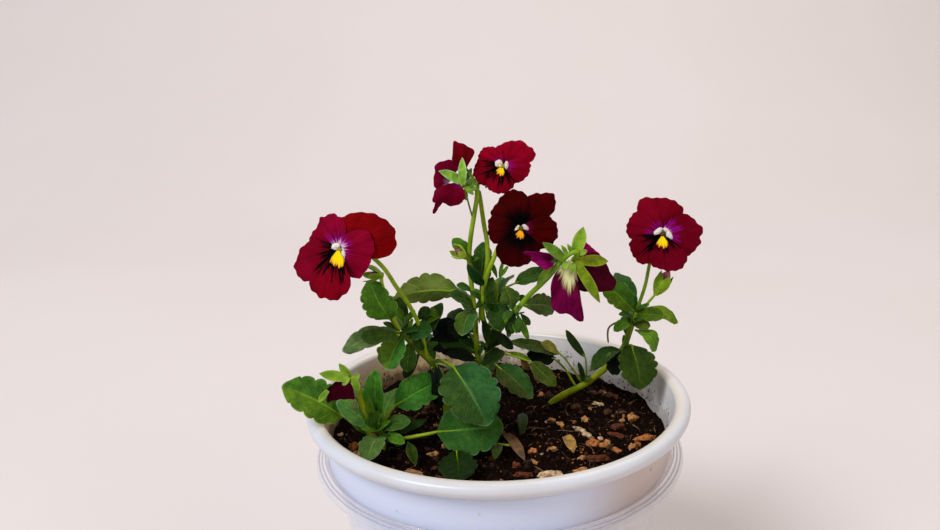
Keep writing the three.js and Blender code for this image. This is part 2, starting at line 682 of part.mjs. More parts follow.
function soil() {
  const random = seededRandom(41);
  const feet = [leftFoot, frontLeftFoot, centreFoot, rightFoot];
  const kept = [...feet, ...deadLeaves.flatMap(({ from, to }) => [from, to])];
  const chips = [];
  while (chips.length < chipCount) {
    const [x, y] = aroundAxis(360 * random(), chipReach * Math.sqrt(random()));
    const size = 4.5 + 4.5 * random() ** 2;
    if (kept.every(([keptX, keptY]) => Math.hypot(keptX - x, keptY - y) > 13)) {
      chips.push(chip(x, y, size, 0.7 + 0.2 * random(), Math.PI * random(), 0.5 * random()));
    }
  }
  const holes = feet.map((foot) => (
    upright(foot, soilLevel - buriedDepth - clearance, soilLevel + 6, stemRadius + clearance)
  ));
  return holes.reduce((ground, hole) => ground.subtract(hole), joined([peat(), ...chips]));
}

// Withered leaves that lie on the peat.
const deadLeaves = [
  { name: 'dead_leaf_brown', from: [5, -20], to: [14, -46], width: 7 },
  { name: 'dead_leaf_ochre', from: [37, -24], to: [38, -42], width: 6 },
  { name: 'dead_leaf_left', from: [-46, -47], to: [-36, -62], width: 6 },
];

function deadLeaf({ from, to, width }) {
  const lift = clearance + bladeThickness / 2 + 0.1;
  const ends = [from, to].map(([x, y]) => [x, y, soilHeight(x, y) + lift]);
  return leaf({ from: ends[0], to: ends[1], width, face: [0, 0, 1], arch: 0.06, fold: 0.1 });
}

// Assembly

const group = new THREE.Group();

const green = material(colours.leaf, 0.55);
const crimson = material(colours.petal, 0.8);
const maroon = material(colours.darkPetal, 0.85);
const magenta = material(colours.backPetal, 0.75);
const budSkin = material(colours.bud, 0.7);
const withered = material(colours.deadLeaf, 0.9);

const clear = material(colours.cover, 0.12, { transparent: true, opacity: 0.35 });

group.add(meshOf('cover_pot', coverPot(), clear));
group.add(meshOf('pot', whitePot(), material(colours.pot, 0.4)));
group.add(meshOf('soil', soil(), material(colours.soil, 0.98)));

group.add(meshOf('stem_left', stemLeft(), green));
group.add(meshOf('stem_front_left', stemFrontLeft(), green.clone()));
group.add(meshOf('stem_centre', stemCentre(), green.clone()));
group.add(meshOf('stem_right', stemRight(), green.clone()));

group.add(meshOf('bloom_left', corolla(leftBloom), crimson));
group.add(meshOf('bloom_top', corolla(topBloom), crimson.clone()));
group.add(meshOf('bloom_right', corolla(rightBloom), crimson.clone()));
group.add(meshOf('bloom_side', corolla(sideBloom), crimson.clone()));
group.add(meshOf('bloom_dark', corolla(darkBloom), maroon));
group.add(meshOf('bloom_nodding', corolla(noddingBloom), maroon.clone()));
group.add(meshOf('bloom_back', corolla(backBloom), magenta));

group.add(meshOf('bud_centre', budTip(centreBud), budSkin));
group.add(meshOf('bud_right', budTip(rightBud), budSkin.clone()));

for (const shape of deadLeaves) {
  group.add(meshOf(shape.name, deadLeaf(shape), withered.clone()));
}

export default group;
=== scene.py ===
import math

import bpy
import numpy as np
from mathutils import Matrix, Vector, noise


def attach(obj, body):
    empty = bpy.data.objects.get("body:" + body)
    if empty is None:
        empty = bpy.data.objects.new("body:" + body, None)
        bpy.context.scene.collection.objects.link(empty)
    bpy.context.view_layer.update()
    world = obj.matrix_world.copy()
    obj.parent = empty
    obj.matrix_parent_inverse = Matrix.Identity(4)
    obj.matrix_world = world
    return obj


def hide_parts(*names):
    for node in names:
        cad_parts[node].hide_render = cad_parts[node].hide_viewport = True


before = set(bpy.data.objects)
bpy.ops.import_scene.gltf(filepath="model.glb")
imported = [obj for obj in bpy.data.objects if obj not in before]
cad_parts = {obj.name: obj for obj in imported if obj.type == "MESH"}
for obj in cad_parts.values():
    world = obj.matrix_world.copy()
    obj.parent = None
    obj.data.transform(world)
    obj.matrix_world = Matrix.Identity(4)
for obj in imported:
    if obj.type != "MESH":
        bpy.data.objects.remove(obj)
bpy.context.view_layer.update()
print("frame loaded with", len(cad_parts), "nodes")

mm = 0.001
plain = (1, 1, 1)   # a tint that changes nothing

# the ways that leaves face
up = (0, -0.6, 0.8)
front = (0, -0.9, 0.4)
frontLeft = (-0.35, -0.8, 0.5)
backLow = (0, 0.4, 0.9)


# Small helpers for meshes

def deselectAll():
    bpy.ops.object.select_all(action="DESELECT")


def makeActive(piece):
    deselectAll()
    piece.select_set(True)
    bpy.context.view_layer.objects.active = piece


def newPiece(name, mesh):
    piece = bpy.data.objects.new(name, mesh)
    bpy.context.scene.collection.objects.link(piece)
    return piece


def randomFrom(seed):
    return np.random.default_rng(seed)


def unit(vector):
    vector = np.asarray(vector, float)
    return vector / np.linalg.norm(vector)


def pointsOf(mesh):
    points = np.zeros(len(mesh.vertices) * 3)
    mesh.vertices.foreach_get("co", points)
    return points.reshape(-1, 3)


def paintPoints(mesh, name, colour):
    # one colour for every point, or a colour each, with or without a fourth share
    values = np.array(colour, float)
    if values.shape[-1] == 3:
        values = np.insert(values, 3, 1, axis=-1)
    layer = mesh.color_attributes.new(name, "FLOAT_COLOR", "POINT")
    layer.data.foreach_set("color", np.broadcast_to(values, (len(mesh.vertices), 4)).ravel())


gridTemplates = {}


def gridTemplate(across, along):
    # one flat grid of each size, modelled once and copied for every leaf, petal and stalk
    if (across, along) not in gridTemplates:
        bpy.ops.mesh.primitive_grid_add(x_subdivisions=across, y_subdivisions=along, size=2, calc_uvs=True)
        template = bpy.context.object
        points = pointsOf(template.data)
        gridTemplates[(across, along)] = (template, points[:, 0], (points[:, 1] + 1) / 2)
    return gridTemplates[(across, along)]


def formedSheet(across, along, shape, tint=plain, marks=(0, 0, 0, 0)):
    # shape gives each point of the grid its place in millimetres and, if wanted, its place on the pattern;
    # side runs from -1 to 1 across the grid, and station from 0 to 1 along it
    template, side, station = gridTemplate(across, along)
    mesh = template.data.copy()
    made = shape(side, station)
    place, pattern = made if isinstance(made, tuple) else (made, None)
    mesh.vertices.foreach_set("co", (place * mm).ravel())
    if pattern is not None:
        loops = np.zeros(len(mesh.loops), int)
        mesh.loops.foreach_get("vertex_index", loops)
        mesh.uv_layers.active.data.foreach_set("uv", pattern[loops].ravel())
    paintPoints(mesh, "tint", tint)
    paintPoints(mesh, "marks", marks)
    mesh.update()
    return newPiece("sheet", mesh)


def smoothRoute(points, steps):
    knots = np.array(points, float)
    ends = np.vstack([2 * knots[0] - knots[1], knots, 2 * knots[-1] - knots[-2]])
    t = np.linspace(0, len(knots) - 1, steps + 1)
    i = np.minimum(t.astype(int), len(knots) - 2)
    f = (t - i)[:, None]
    a, b, c, d = ends[i], ends[i + 1], ends[i + 2], ends[i + 3]
    bend = (2 * a - 5 * b + 4 * c - d) * f ** 2 + (3 * b - a - 3 * c + d) * f ** 3
    return 0.5 * (2 * b + (c - a) * f + bend)


def formedTube(points, radius, endRadius, around, along, ribs=0.0, tint=plain):
    # a closed round stalk along a smooth line, with faint ribs down its length
    line = smoothRoute(points, along)
    direction = np.gradient(line, axis=0)
    direction /= np.linalg.norm(direction, axis=1)[:, None]
    sideways = [unit(np.cross(direction[0], (0.31, 0.87, 0.38)))]   # no stalk sets out in this direction
    for heading in direction[1:]:
        sideways.append(unit(sideways[-1] - heading * (heading @ sideways[-1])))
    sideways = np.array(sideways)
    other = np.cross(direction, sideways)
    widths = radius + (endRadius - radius) * np.linspace(0, 1, along + 1)
    widths[0] = widths[-1] = 0

    def shape(side, station):
        row = np.rint(station * along).astype(int)
        turn = np.pi * side
        reach = widths[row] * (1 + ribs * np.cos(5 * turn))
        ring = sideways[row] * np.cos(turn)[:, None] + other[row] * np.sin(turn)[:, None]
        return line[row] + ring * reach[:, None]

    return formedSheet(around, along, shape, tint)


def closeSeams(piece):
    makeActive(piece)
    bpy.ops.object.mode_set(mode="EDIT")
    bpy.ops.mesh.select_all(action="SELECT")
    bpy.ops.mesh.remove_doubles(threshold=0.00001)
    bpy.ops.mesh.normals_make_consistent(inside=False)
    bpy.ops.object.mode_set(mode="OBJECT")


def giveThickness(piece, thickness):
    # the middle surface gets both faces, and its back takes the second material
    makeActive(piece)
    wall = piece.modifiers.new("thickness", "SOLIDIFY")
    wall.thickness = thickness * mm
    wall.offset = 0
    wall.material_offset = 1
    wall.material_offset_rim = 0
    bpy.ops.object.modifier_apply(modifier=wall.name)


def smooth(piece, angle):
    makeActive(piece)
    bpy.ops.object.shade_smooth_by_angle(angle=math.radians(angle))


def finishedPiece(name, parts, materials, slot, *nodes, thickness=0, seams=False, angle=0):
    # one piece out of its parts: it rides on the planter's only body and stands for its nodes
    makeActive(parts[0])
    for part in parts[1:]:
        part.select_set(True)
    if len(parts) > 1:
        bpy.ops.object.join()
    piece = bpy.context.object
    piece.name = name
    piece.data.name = name
    piece.data.materials.clear()
    for material in materials:
        piece.data.materials.append(material)
    if thickness:
        giveThickness(piece, thickness)
    if seams:
        closeSeams(piece)
    if angle:
        smooth(piece, angle)
    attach(piece, "root")
    if nodes:
        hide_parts(*nodes)


# Small helpers for materials

class Field:
    # a value or colour that varies over a surface, so that sums can be written out plainly
    def __init__(self, socket):
        self.socket = socket

    def __add__(self, other):
        return calc("ADD", self, other)

    def __sub__(self, other):
        return calc("SUBTRACT", self, other)

    def __rsub__(self, other):
        return calc("SUBTRACT", other, self)

    def __mul__(self, other):
        return calc("MULTIPLY", self, other)

    def __abs__(self):
        return calc("ABSOLUTE", self)


def put(socket, value):
    if isinstance(value, Field):
        socket.id_data.links.new(value.socket, socket)
    elif socket.type == "RGBA" and len(value) == 3:
        socket.default_value = (*value, 1)
    else:
        socket.default_value = value


def addNode(tree, kind, inputs, **settings):
    made = tree.nodes.new("ShaderNode" + kind)
    for name, value in settings.items():
        setattr(made, name, value)
    for name, value in inputs.items():
        put(made.inputs[name], value)
    return made


def formula(kind, inputs, output=0, **settings):
    # a node in the tree of the first field that it reads
    tree = next(value.socket.id_data for value in inputs.values() if isinstance(value, Field))
    return Field(addNode(tree, kind, inputs, **settings).outputs[output])


def calc(operation, *values):
    return formula("Math", dict(enumerate(values)), operation=operation)


def fade(value, low, high, start=0.0, end=1.0):
    inputs = {0: value, 1: low, 2: high, 3: start, 4: end}
    return formula("MapRange", inputs, interpolation_type="SMOOTHSTEP")


def mixColour(share, first, second, blend="MIX"):
    return formula("Mix", {0: share, 6: first, 7: second}, 2, data_type="RGBA", blend_type=blend)


def layered(tone, *layers):
    # lays colours over a tone one after another, each by its own share
    for share, colour in layers:
        tone = mixColour(share, tone, colour)
    return tone


def tinted(tone, tint):
    return mixColour(1.0, tone, tint, "MULTIPLY")


def mottle(where, scale, detail=3.0, roughness=0.55):
    return formula("TexNoise", {"Vector": where, "Scale": scale, "Detail": detail, "Roughness": roughness})


def cells(where, scale, feature="F1"):
    return formula("TexVoronoi", {"Vector": where, "Scale": scale}, feature=feature)


def parted(value, kind="SeparateXYZ"):
    return [Field(socket) for socket in addNode(value.socket.id_data, kind, {0: value}).outputs]


def turnedPlace(where):
    # how far right a point lies, its place on the ground plan, its height, and its reach from the axis
    right, deep, height = parted(where)
    flat = formula("CombineXYZ", {0: right, 1: deep})
    return right, flat, height, formula("VectorMath", {0: flat}, "Value", operation="LENGTH")


def patternPlace(shader):
    return parted(Field(addNode(shader.id_data, "UVMap", {}, uv_map="UVMap").outputs[0]))[:2]


def pointColour(shader, name, output="Color"):
    made = addNode(shader.id_data, "Attribute", {}, attribute_name=name, attribute_type="GEOMETRY")
    return Field(made.outputs[output])


def newMaterial(name, roughness, specular=0.5):
    material = bpy.data.materials.new(name)
    material.use_nodes = True
    shader = material.node_tree.nodes["Principled BSDF"]
    shader.inputs["Roughness"].default_value = roughness
    shader.inputs["Specular IOR Level"].default_value = specular
    return material, shader, Field(addNode(material.node_tree, "TexCoord", {}).outputs["Object"])


def finishMaterial(shader, tone, height, strength, distance):
    put(shader.inputs["Base Color"], tone)
    bump = {"Height": height, "Strength": strength, "Distance": distance}
    put(shader.inputs["Normal"], formula("Bump", bump))


# Camera, light and backdrop

cameraLook = {
    "place": (-0.01166, -0.37680, 0.33347),
    "right": (0.99930, -0.00913, -0.03621),
    "top": (0.03734, 0.24429, 0.96898),
    "lens": 29.106,
    "sensor": 36,
}


def addCamera(look):
    right, top = Vector(look["right"]), Vector(look["top"])
    turn = Matrix((right, top, right.cross(top))).transposed().to_4x4()
    bpy.ops.object.camera_add()
    view = bpy.context.object
    view.name = "camera"
    view.matrix_world = Matrix.Translation(look["place"]) @ turn
    view.data.sensor_width = look["sensor"]
    view.data.lens = look["lens"]
    view.data.clip_start = 0.01
    bpy.context.scene.camera = view


lightLook = {
    "lamps": {
        "key": {"place": (-2.0, -1.7, 2.9), "size": 1.5, "power": 116, "colour": (0.93, 0.96, 1)},
        "fill": {"place": (2.4, -1.6, 1.2), "size": 2.0, "power": 22, "colour": (1, 0.85, 0.70)},
        "rear": {"place": (0.8, 1.6, 2.6), "size": 1.6, "power": 26, "colour": (1, 0.97, 0.93)},
    },
    "aim": (0, 0, 0.2),
    "sky": (0.95, 0.93, 0.94),
    "skyStrength": 0.42,
}


def addLights(look):
    for name, lamp in look["lamps"].items():
        bpy.ops.object.light_add(type="AREA", location=lamp["place"])
        light = bpy.context.object
        light.name = name + "_light"
        light.data.size = lamp["size"]
        light.data.energy = lamp["power"]
        light.data.color = lamp["colour"]
        heading = Vector(look["aim"]) - Vector(lamp["place"])
        light.rotation_euler = heading.to_track_quat("-Z", "Y").to_euler()
    world = bpy.data.worlds.new("studio")
    world.use_nodes = True
    sky = world.node_tree.nodes["Background"]
    put(sky.inputs["Color"], look["sky"])
    put(sky.inputs["Strength"], look["skyStrength"])
    bpy.context.scene.world = world


stageLook = {
    "half": 10.0, "rear": 2.4, "height": 4.5, "curve": 1.3,
    "colour": (0.70, 0.64, 0.63), "patches": (0.68, 0.62, 0.60),
}


def addStage(look):
    bpy.ops.mesh.primitive_plane_add(size=2 * look["half"], location=(0, look["rear"] - look["half"], 0))
    sweep = bpy.context.object
    sweep.name = "backdrop"
    bpy.ops.object.transform_apply(location=True)

    def selectRearEdge():
        # the floor's far edge, where the wall stands
        bpy.ops.mesh.select_all(action="DESELECT")
        bpy.ops.object.mode_set(mode="OBJECT")
        for edge in sweep.data.edges:
            ends = [sweep.data.vertices[i].co for i in edge.vertices]
            edge.select = all(end.y > look["rear"] - 0.01 and end.z < 0.01 for end in ends)
        bpy.ops.object.mode_set(mode="EDIT")

    bpy.ops.object.mode_set(mode="EDIT")
    bpy.ops.mesh.select_mode(type="EDGE")
    selectRearEdge()
    bpy.ops.mesh.extrude_edges_move(TRANSFORM_OT_translate={"value": (0, 0, look["height"])})
    selectRearEdge()
    bpy.ops.mesh.bevel(offset=look["curve"], segments=32, affect="EDGES")
    bpy.ops.object.mode_set(mode="OBJECT")
    smooth(sweep, 80)
    material, shader, where = newMaterial("pale_wall", 0.9)
    tone = mixColour(fade(mottle(where, 1.5, 4), 0.3, 0.7), look["colour"], look["patches"])
    put(shader.inputs["Base Color"], tone)
    sweep.data.materials.append(material)


addCamera(cameraLook)
addLights(lightLook)
addStage(stageLook)
bpy.context.scene.view_settings.view_transform = "Standard"
bpy.context.scene.view_settings.look = "None"
print("camera, light and backdrop set")


# Pots

def softened(outline, cut, steps=4):
    # rounds each inner corner of an outline off by the cut, or by less on short stretches
    corners = np.array(outline, float)
    points = [corners[0]]
    for before, corner, after in zip(corners, corners[1:], corners[2:]):
        toward, onward = before - corner, after - corner
        room = 0.45 * min(np.linalg.norm(toward), np.linalg.norm(onward))
        start = corner + unit(toward) * min(cut, room)
        end = corner + unit(onward) * min(cut, room)
        for t in np.linspace(0, 1, steps + 1):
            points.append((1 - t) ** 2 * start + 2 * t * (1 - t) * corner + t ** 2 * end)
    return [*points, corners[-1]]


def turnedPot(outline, steps):
    # a circle, drawn out along the outline ring by ring, and closed at both ends
    radius, height = outline[0]
    bpy.ops.mesh.primitive_circle_add(vertices=steps, radius=radius * mm, location=(0, 0, height * mm))
    pot = bpy.context.object
    bpy.ops.object.transform_apply(location=True)
    bpy.ops.object.mode_set(mode="EDIT")
    bpy.ops.mesh.select_all(action="SELECT")
    for nextRadius, nextHeight in outline[1:]:
        bpy.ops.mesh.extrude_edges_move(
            TRANSFORM_OT_translate={"value": (0, 0, (nextHeight - height) * mm)})
        share = nextRadius / radius
        bpy.ops.transform.resize(value=(share, share, 1), center_override=(0, 0, nextHeight * mm))
        radius, height = nextRadius, nextHeight
    bpy.ops.mesh.edge_face_add()
    bpy.ops.mesh.select_all(action="DESELECT")
    bpy.ops.mesh.select_non_manifold()
    bpy.ops.mesh.edge_face_add()
    bpy.ops.mesh.select_all(action="SELECT")
    bpy.ops.mesh.normals_make_consistent(inside=False)
    bpy.ops.object.mode_set(mode="OBJECT")
    return pot


# outlines are pairs of radius and height in millimetres
whitePotLook = {
    "outside": [(66, 1.6), (84.9, 135.6), (87.4, 137.3), (89.2, 139.6), (90.2, 142.6), (92.4, 159.3)],
    "rim": [(91.9, 160.2), (93.0, 160.7), (96.2, 161.9), (98.9, 164.0), (100, 166.8), (99.2, 169.0),
            (96.8, 170), (94.0, 169.8), (92.0, 168.2)],
    "inside": [(90.8, 160), (88.1, 143.5), (83.1, 139), (64.5, 3.6)],
    "steps": 144,
    "holeRadius": 5.0,
    "holeRing": 36.3,
    "holeAngles": (45, 135, 225, 315),
    "colour": (0.60, 0.62, 0.68),
    "worn": (0.58, 0.575, 0.60),
    "crest": (0.70, 0.60, 0.46),
    # painted cool light: the white wall under the rim is painted bluer
    "wall": (0.60, 0.66, 0.84),
    # painted shade: the white wall is painted darker and warmer round its right side
    "paintedWarmShade": (0.48, 0.39, 0.36),
    # painted light: the inside of the white pot is painted lighter than its outside
    "paintedLightLining": (0.80, 0.80, 0.83),
    # a peat stain near the peat, laid on thicker to the left as painted shade
    "peatGrimeAndShade": (0.13, 0.075, 0.04),
    # a peat stain up the inner wall, laid on thicker to the left as painted shade
    "peatFilmAndShade": (0.62, 0.39, 0.12),
    "crumbs": (0.020, 0.012, 0.008),
    "specks": (0.16, 0.12, 0.10),
    # place and size in millimetres, and colour
    "wallMarks": [
        ((-48, -76.8, 146.8), 0.3, (0.16, 0.14, 0.13)),
        ((-11.4, -89.9, 152.5), 0.8, (0.50, 0.44, 0.20)),
        ((67.7, -61.2, 153.9), 0.9, (0.20, 0.16, 0.14)),
        ((66.9, -61.6, 156.4), 0.5, (0.24, 0.19, 0.17)),
    ],
}


def whitePotMaterial(look):
    material, shader, where = newMaterial("white_plastic", 0.38)
    shader.inputs["Coat Weight"].default_value = 0.25
    shader.inputs["Coat Roughness"].default_value = 0.2
    right, flat, height, reach = turnedPlace(where)
    large, patches = mottle(where, 26, 5, 0.6), mottle(where, 130, 4, 0.7)
    small = mottle(where, 420, 4, 0.65)
    # painted light on the white plastic: the wall under the rim is painted a little bluer, as cool light,
    # and warmer and darker round its right side, as shade; inside it is painted lighter
    slope = 0.1677   # of the wall over the lip of the cover pot
    outerLine = (height - 0.1435) * slope + 0.0896
    behind = fade(reach - outerLine, -0.0005, -0.0010) * fade(height, 0.1428, 0.1438)
    inner = behind * fade(height, 0.1685, 0.1660)
    low = fade(height, 0.1612, 0.1592) * (1.0 - behind)
    # a cream stain along the inner edge of the crest
    crest = fade(reach, 0.0985, 0.0945) * fade(height, 0.1655, 0.1690) * fade(small, 0.35, 0.6, 0.25, 0.8)
    # peat stains, thick along the peat and thinning up the inner wall; the more on the left is painted
    # shade, for the left of the inner wall lies in shade
    level = height - patches * 0.022 - small * 0.006
    # how much painted shade the left of the inner wall gets
    shaded = fade(right, 0.075, -0.050)
    peatFilmAndShade = inner * fade(level, 0.166, 0.136) * (shaded * 0.80 + 0.12)
    dripsAndShade = fade(mottle(flat, 60, 2), 0.56, 0.74, 0, 0.4) * inner * shaded
    peatGrimeAndShade = inner * fade(level, 0.1435, 0.1355) * (shaded * 0.5 + 0.45)
    # crumbs of peat stuck to the wall just above the peat
    crumbs = fade(cells(where, 380), 0.34, 0.24) * fade(patches, 0.42, 0.52)
    crumbs = crumbs * inner * fade(level, 0.1490, 0.1375)
    tone = layered(
        mixColour(fade(large, 0.35, 0.7), look["colour"], look["worn"]),
        (inner, look["paintedLightLining"]), (low, look["wall"]), (low * fade(right, 0.022, 0.062), look["paintedWarmShade"]),
        (crest, look["crest"]), (peatFilmAndShade, look["peatFilmAndShade"]), (dripsAndShade, look["peatFilmAndShade"]), (peatGrimeAndShade, look["peatGrimeAndShade"]),
        (crumbs, look["crumbs"]))
    # old marks on the wall, and scattered specks of dirt
    for spot, size, colour in look["wallMarks"]:
        offset = formula("VectorMath", {0: where, 1: [c * mm for c in spot]}, operation="SUBTRACT")
        away = formula("VectorMath", {0: offset}, "Value", operation="LENGTH") + small * 0.0012
        tone = mixColour(fade(away, (size + 1.4) * mm, size * mm, 0, 0.75), tone, colour)
    specks = fade(cells(where, 95), 0.045, 0.03) * fade(mottle(where, 40, 1), 0.56, 0.62)
    put(shader.inputs["Roughness"], small * 0.14 + peatGrimeAndShade * 0.4 + 0.34)
    finishMaterial(shader, mixColour(specks, tone, look["specks"]), small, 0.08, 0.0004)
    return material


def whitePot(look):
    outline = [*look["outside"], *look["rim"], *look["inside"]]
    pot = turnedPot(softened(outline, 1.6), look["steps"])
    for angle in look["holeAngles"]:
        turn = math.radians(angle)
        spot = (look["holeRing"] * mm * math.cos(turn), look["holeRing"] * mm * math.sin(turn), 0.003)
        bpy.ops.mesh.primitive_cylinder_add(vertices=24, radius=look["holeRadius"] * mm, depth=0.01,
                                            location=spot)
        drill = bpy.context.object
        makeActive(pot)
        hole = pot.modifiers.new("drain", "BOOLEAN")
        hole.operation = "DIFFERENCE"
        hole.solver = "EXACT"
        hole.object = drill
        bpy.ops.object.modifier_apply(modifier=hole.name)
        bpy.data.objects.remove(drill)
    finishedPiece("white_pot", [pot], [whitePotMaterial(look)], "pot", "pot", angle=35)


coverPotLook = {
    "outside": [(68.2, 0), (86.9, 133.0), (89.4, 134.6), (93.8, 135.8), (96.4, 137.2), (97.1, 138.9),
                (96.9, 140.4), (96.2, 141.3), (95.4, 140.7), (94.6, 141.9), (93.8, 141.3), (93.1, 142.5),
                (92.5, 142.9)],
    "inside": [(91.6, 142.1), (90.6, 140.4), (88.6, 137.6), (85.8, 135.2), (66.9, 1.3)],
    "steps": 144,
    "grooves": (95.4, 93.8, 92.2, 90.4),
    "colour": (0.80, 0.80, 0.86),
    # painted shade in the grooves of the clear lip
    "paintedGrooveShade": (0.20, 0.19, 0.30),
}


def clearMaterial(look):
    material, shader, where = newMaterial("clear_plastic", 0.12)
    shader.inputs["Coat Weight"].default_value = 0.6
    shader.inputs["Coat Roughness"].default_value = 0.05
    small = mottle(where, 300, 3)
    edge = Field(addNode(shader.id_data, "LayerWeight", {"Blend": 0.35}).outputs["Facing"])
    share = fade(edge, 0.25, 1.0, 0.10, 0.72) + small * 0.05
    # the grooves of the lip are painted darker, as painted shade in the grooves, and look denser
    _, _, height, reach = turnedPlace(where)
    lines = 0.0
    for ring in look["grooves"]:
        lines = calc("MAXIMUM", lines, fade(abs(reach - ring * mm), 0.0006, 0.0002))
    lines = lines * fade(height, 0.1385, 0.1395, 0, 0.75)
    put(shader.inputs["Alpha"], calc("MAXIMUM", share, lines * 0.8))
    finishMaterial(shader, mixColour(lines, look["colour"], look["paintedGrooveShade"]), small, 0.03, 0.0003)
    return material


def coverPot(look):
    pot = turnedPot(softened([*look["outside"], *look["inside"]], 0.6, 3), look["steps"])
    finishedPiece("clear_cover_pot", [pot], [clearMaterial(look)], "cover", "cover_pot", angle=40)


whitePot(whitePotLook)
coverPot(coverPotLook)
print("pots made")


# Peat, with crumbs, fibres, bark and pebbles

soilLook = {
    "below": [(0, 3.9), (64.2, 3.9), (82.8, 139), (87.8, 143.6), (88.6, 146.5)],   # its foot and wall
    "level": 148.0,
    "mound": 1.6,
    "edge": 88.4,
    "around": 320,
    "rings": 120,
    "dark": (0.0026, 0.0016, 0.0012),
    "mid": (0.0068, 0.0026, 0.0013),
    "reddish": (0.058, 0.016, 0.005),
    "golden": (0.30, 0.125, 0.035),
}


def soilHeight(x, y):
    mound = soilLook["mound"] * np.exp(-((x + 20) ** 2 + (y - 4) ** 2) / 1800)
    return soilLook["level"] + mound + 0.4 * np.sin(0.1 * x + 1) * np.cos(0.09 * y)


def crumbly(x, y):
    # the height of the clods and crumbs over the smooth mound
    clods = noise.fractal(Vector((x / 11, y / 11, 3.1)), 0.9, 2.1, 3)
    crumbs = noise.fractal(Vector((x / 3.2, y / 3.2, 8.7)), 0.7, 2.2, 3)
    return 2.2 * clods + 1.2 * crumbs


def peatMaterial(look):
    material, shader, where = newMaterial("damp_peat", 0.95, 0.03)
    coarse, fine = mottle(where, 210, 5, 0.7), mottle(where, 1100, 4, 0.7)
    grit = fade(cells(where, 330), 0.24, 0.14) * fade(coarse, 0.47, 0.56)
    tone = layered(
        mixColour(fade(coarse, 0.38, 0.68), look["dark"], look["mid"]),
        (fade(fine, 0.53, 0.70, 0, 0.8), look["reddish"]), (grit, look["golden"]))
    finishMaterial(shader, tone, cells(where, 700) * 0.7 + fine, 0.9, 0.0009)
    return material


def peatBody(look):
    # rings of the whole body: its foot, its wall, and then the open top from its edge to its middle
    below = look["below"]
    count = look["rings"] - len(below)
    reaches = [reach for reach, _ in below]
    reaches += [look["edge"] * (1 - i / count) ** 0.9 for i in range(count + 1)]

    def shape(side, station):
        row = np.rint(station * look["rings"]).astype(int)
        turn = -np.pi * side
        reach = np.array(reaches)[row]
        x, y = reach * np.cos(turn), reach * np.sin(turn)
        height = soilHeight(x, y)
        for i, ring in enumerate(row):
            if ring < len(below):
                height[i] = below[ring][1]
            else:
                height[i] += crumbly(x[i], y[i])
        return np.stack([x, y, height], axis=1)

    body = formedSheet(look["around"], look["rings"], shape)
    finishedPiece("peat", [body], [peatMaterial(look)], "soil", "soil", seams=True, angle=80)


def lump(cuts, seed, rough):
    # one irregular crumb of unit size, from a ball pushed about by noise
    bpy.ops.mesh.primitive_ico_sphere_add(subdivisions=cuts, radius=1)
    made = bpy.context.object
    for corner in made.data.vertices:
        push = noise.noise(corner.co * 1.4 + Vector((seed * 3.7, 0, 0)))
        corner.co *= 1 + rough * 2 * push
    return made


def placedCopy(template, place, size, turn, colour):
    mesh = template.data.copy()
    spin = Matrix.Rotation(turn[0], 4, "Z") @ Matrix.Rotation(turn[1], 4, "X")
    stretch = Matrix.Diagonal((*[extent * mm / 2 for extent in size], 1))
    mesh.transform(Matrix.Translation(Vector(place) * mm) @ spin @ stretch)
    paintPoints(mesh, "tint", colour)
    return newPiece("copy", mesh)


tan = (0.50, 0.24, 0.085)
orange = (0.46, 0.17, 0.045)
pale = (0.60, 0.43, 0.26)
rust = (0.13, 0.036, 0.016)
bark = (0.105, 0.045, 0.022)

# x, y, length, width, height, turn in degrees, colour
placedChips = [
    (43, -9, 7.5, 3.6, 2.6, 140, pale), (46, -16, 8.0, 3.6, 2.6, 125, pale),
    (47, -26, 6.4, 5.6, 4.2, 20, orange), (37, -28, 5.6, 3.4, 2.6, 120, pale),
    (48, 4, 5.2, 4.6, 3.4, 60, tan), (22, -55, 11.5, 4.2, 2.8, 6, pale), (36, -52, 9.0, 3.6, 2.6, 15, tan),
    (39, -42, 6.5, 3.0, 2.4, 60, tan), (7, -46, 4.0, 3.6, 2.8, 0, rust),
    (74, -21, 11.0, 4.4, 3.4, 14, orange), (73, 1, 6.0, 5.6, 4.2, 30, tan),
    (58, 21, 6.4, 2.6, 2.0, 150, pale), (66, 33, 7.0, 4.0, 3.4, 160, bark),
    (62, 36, 6.0, 3.5, 3.0, 30, bark), (70, 31, 5.0, 3.4, 3.0, 80, rust),
    (58, 37, 5.0, 3.0, 2.6, 120, bark), (64, 35, 3.6, 3.0, 2.6, 10, tan), (67, 36, 3.0, 2.4, 2.2, 50, bark),
    (26, -30, 5.0, 3.0, 2.4, 0, tan), (16, -31, 4.6, 4.0, 2.8, 40, orange), (68, 2, 4.4, 3.0, 2.4, 10, tan),
    (55, -23, 4.6, 4.0, 2.8, 70, tan), (52, -28, 6.0, 3.0, 2.4, 160, orange),
    (30, 5, 5.0, 2.6, 2.2, 150, tan), (34, -2, 5.4, 3.0, 2.4, 120, tan),
    (61, -16, 9.0, 5.0, 3.4, 155, rust), (63, -8, 8.0, 5.0, 3.0, 30, rust),
    (47, -39, 13.0, 6.5, 3.4, 10, rust), (-85, -2, 3.4, 2.6, 2.0, 0, pale),
    (-75, -19, 7.5, 5.0, 4.0, 60, orange), (-72, -28, 6.0, 4.5, 3.4, 20, tan),
    (-66, -37, 4.5, 3.0, 2.4, 100, orange), (-53, -41, 6.5, 2.6, 2.2, 100, bark),
    (-51, -33, 6.0, 3.0, 2.4, 80, rust), (-34, -31, 6.5, 4.0, 2.8, 10, tan),
    (-39, 22, 6.0, 3.0, 2.6, 70, bark), (16, -41, 5.5, 2.2, 1.8, 130, tan),
    (10, -54, 8.5, 3.0, 2.2, 170, rust), (27, 37, 5.0, 3.0, 2.4, 60, tan),
    (45, 20, 6.0, 3.6, 2.6, 20, bark), (66, -30, 5.0, 3.0, 2.2, 50, tan),
    (58, -33, 6.0, 3.2, 2.4, 140, orange), (70, 12, 5.0, 3.0, 2.2, 20, bark),
]


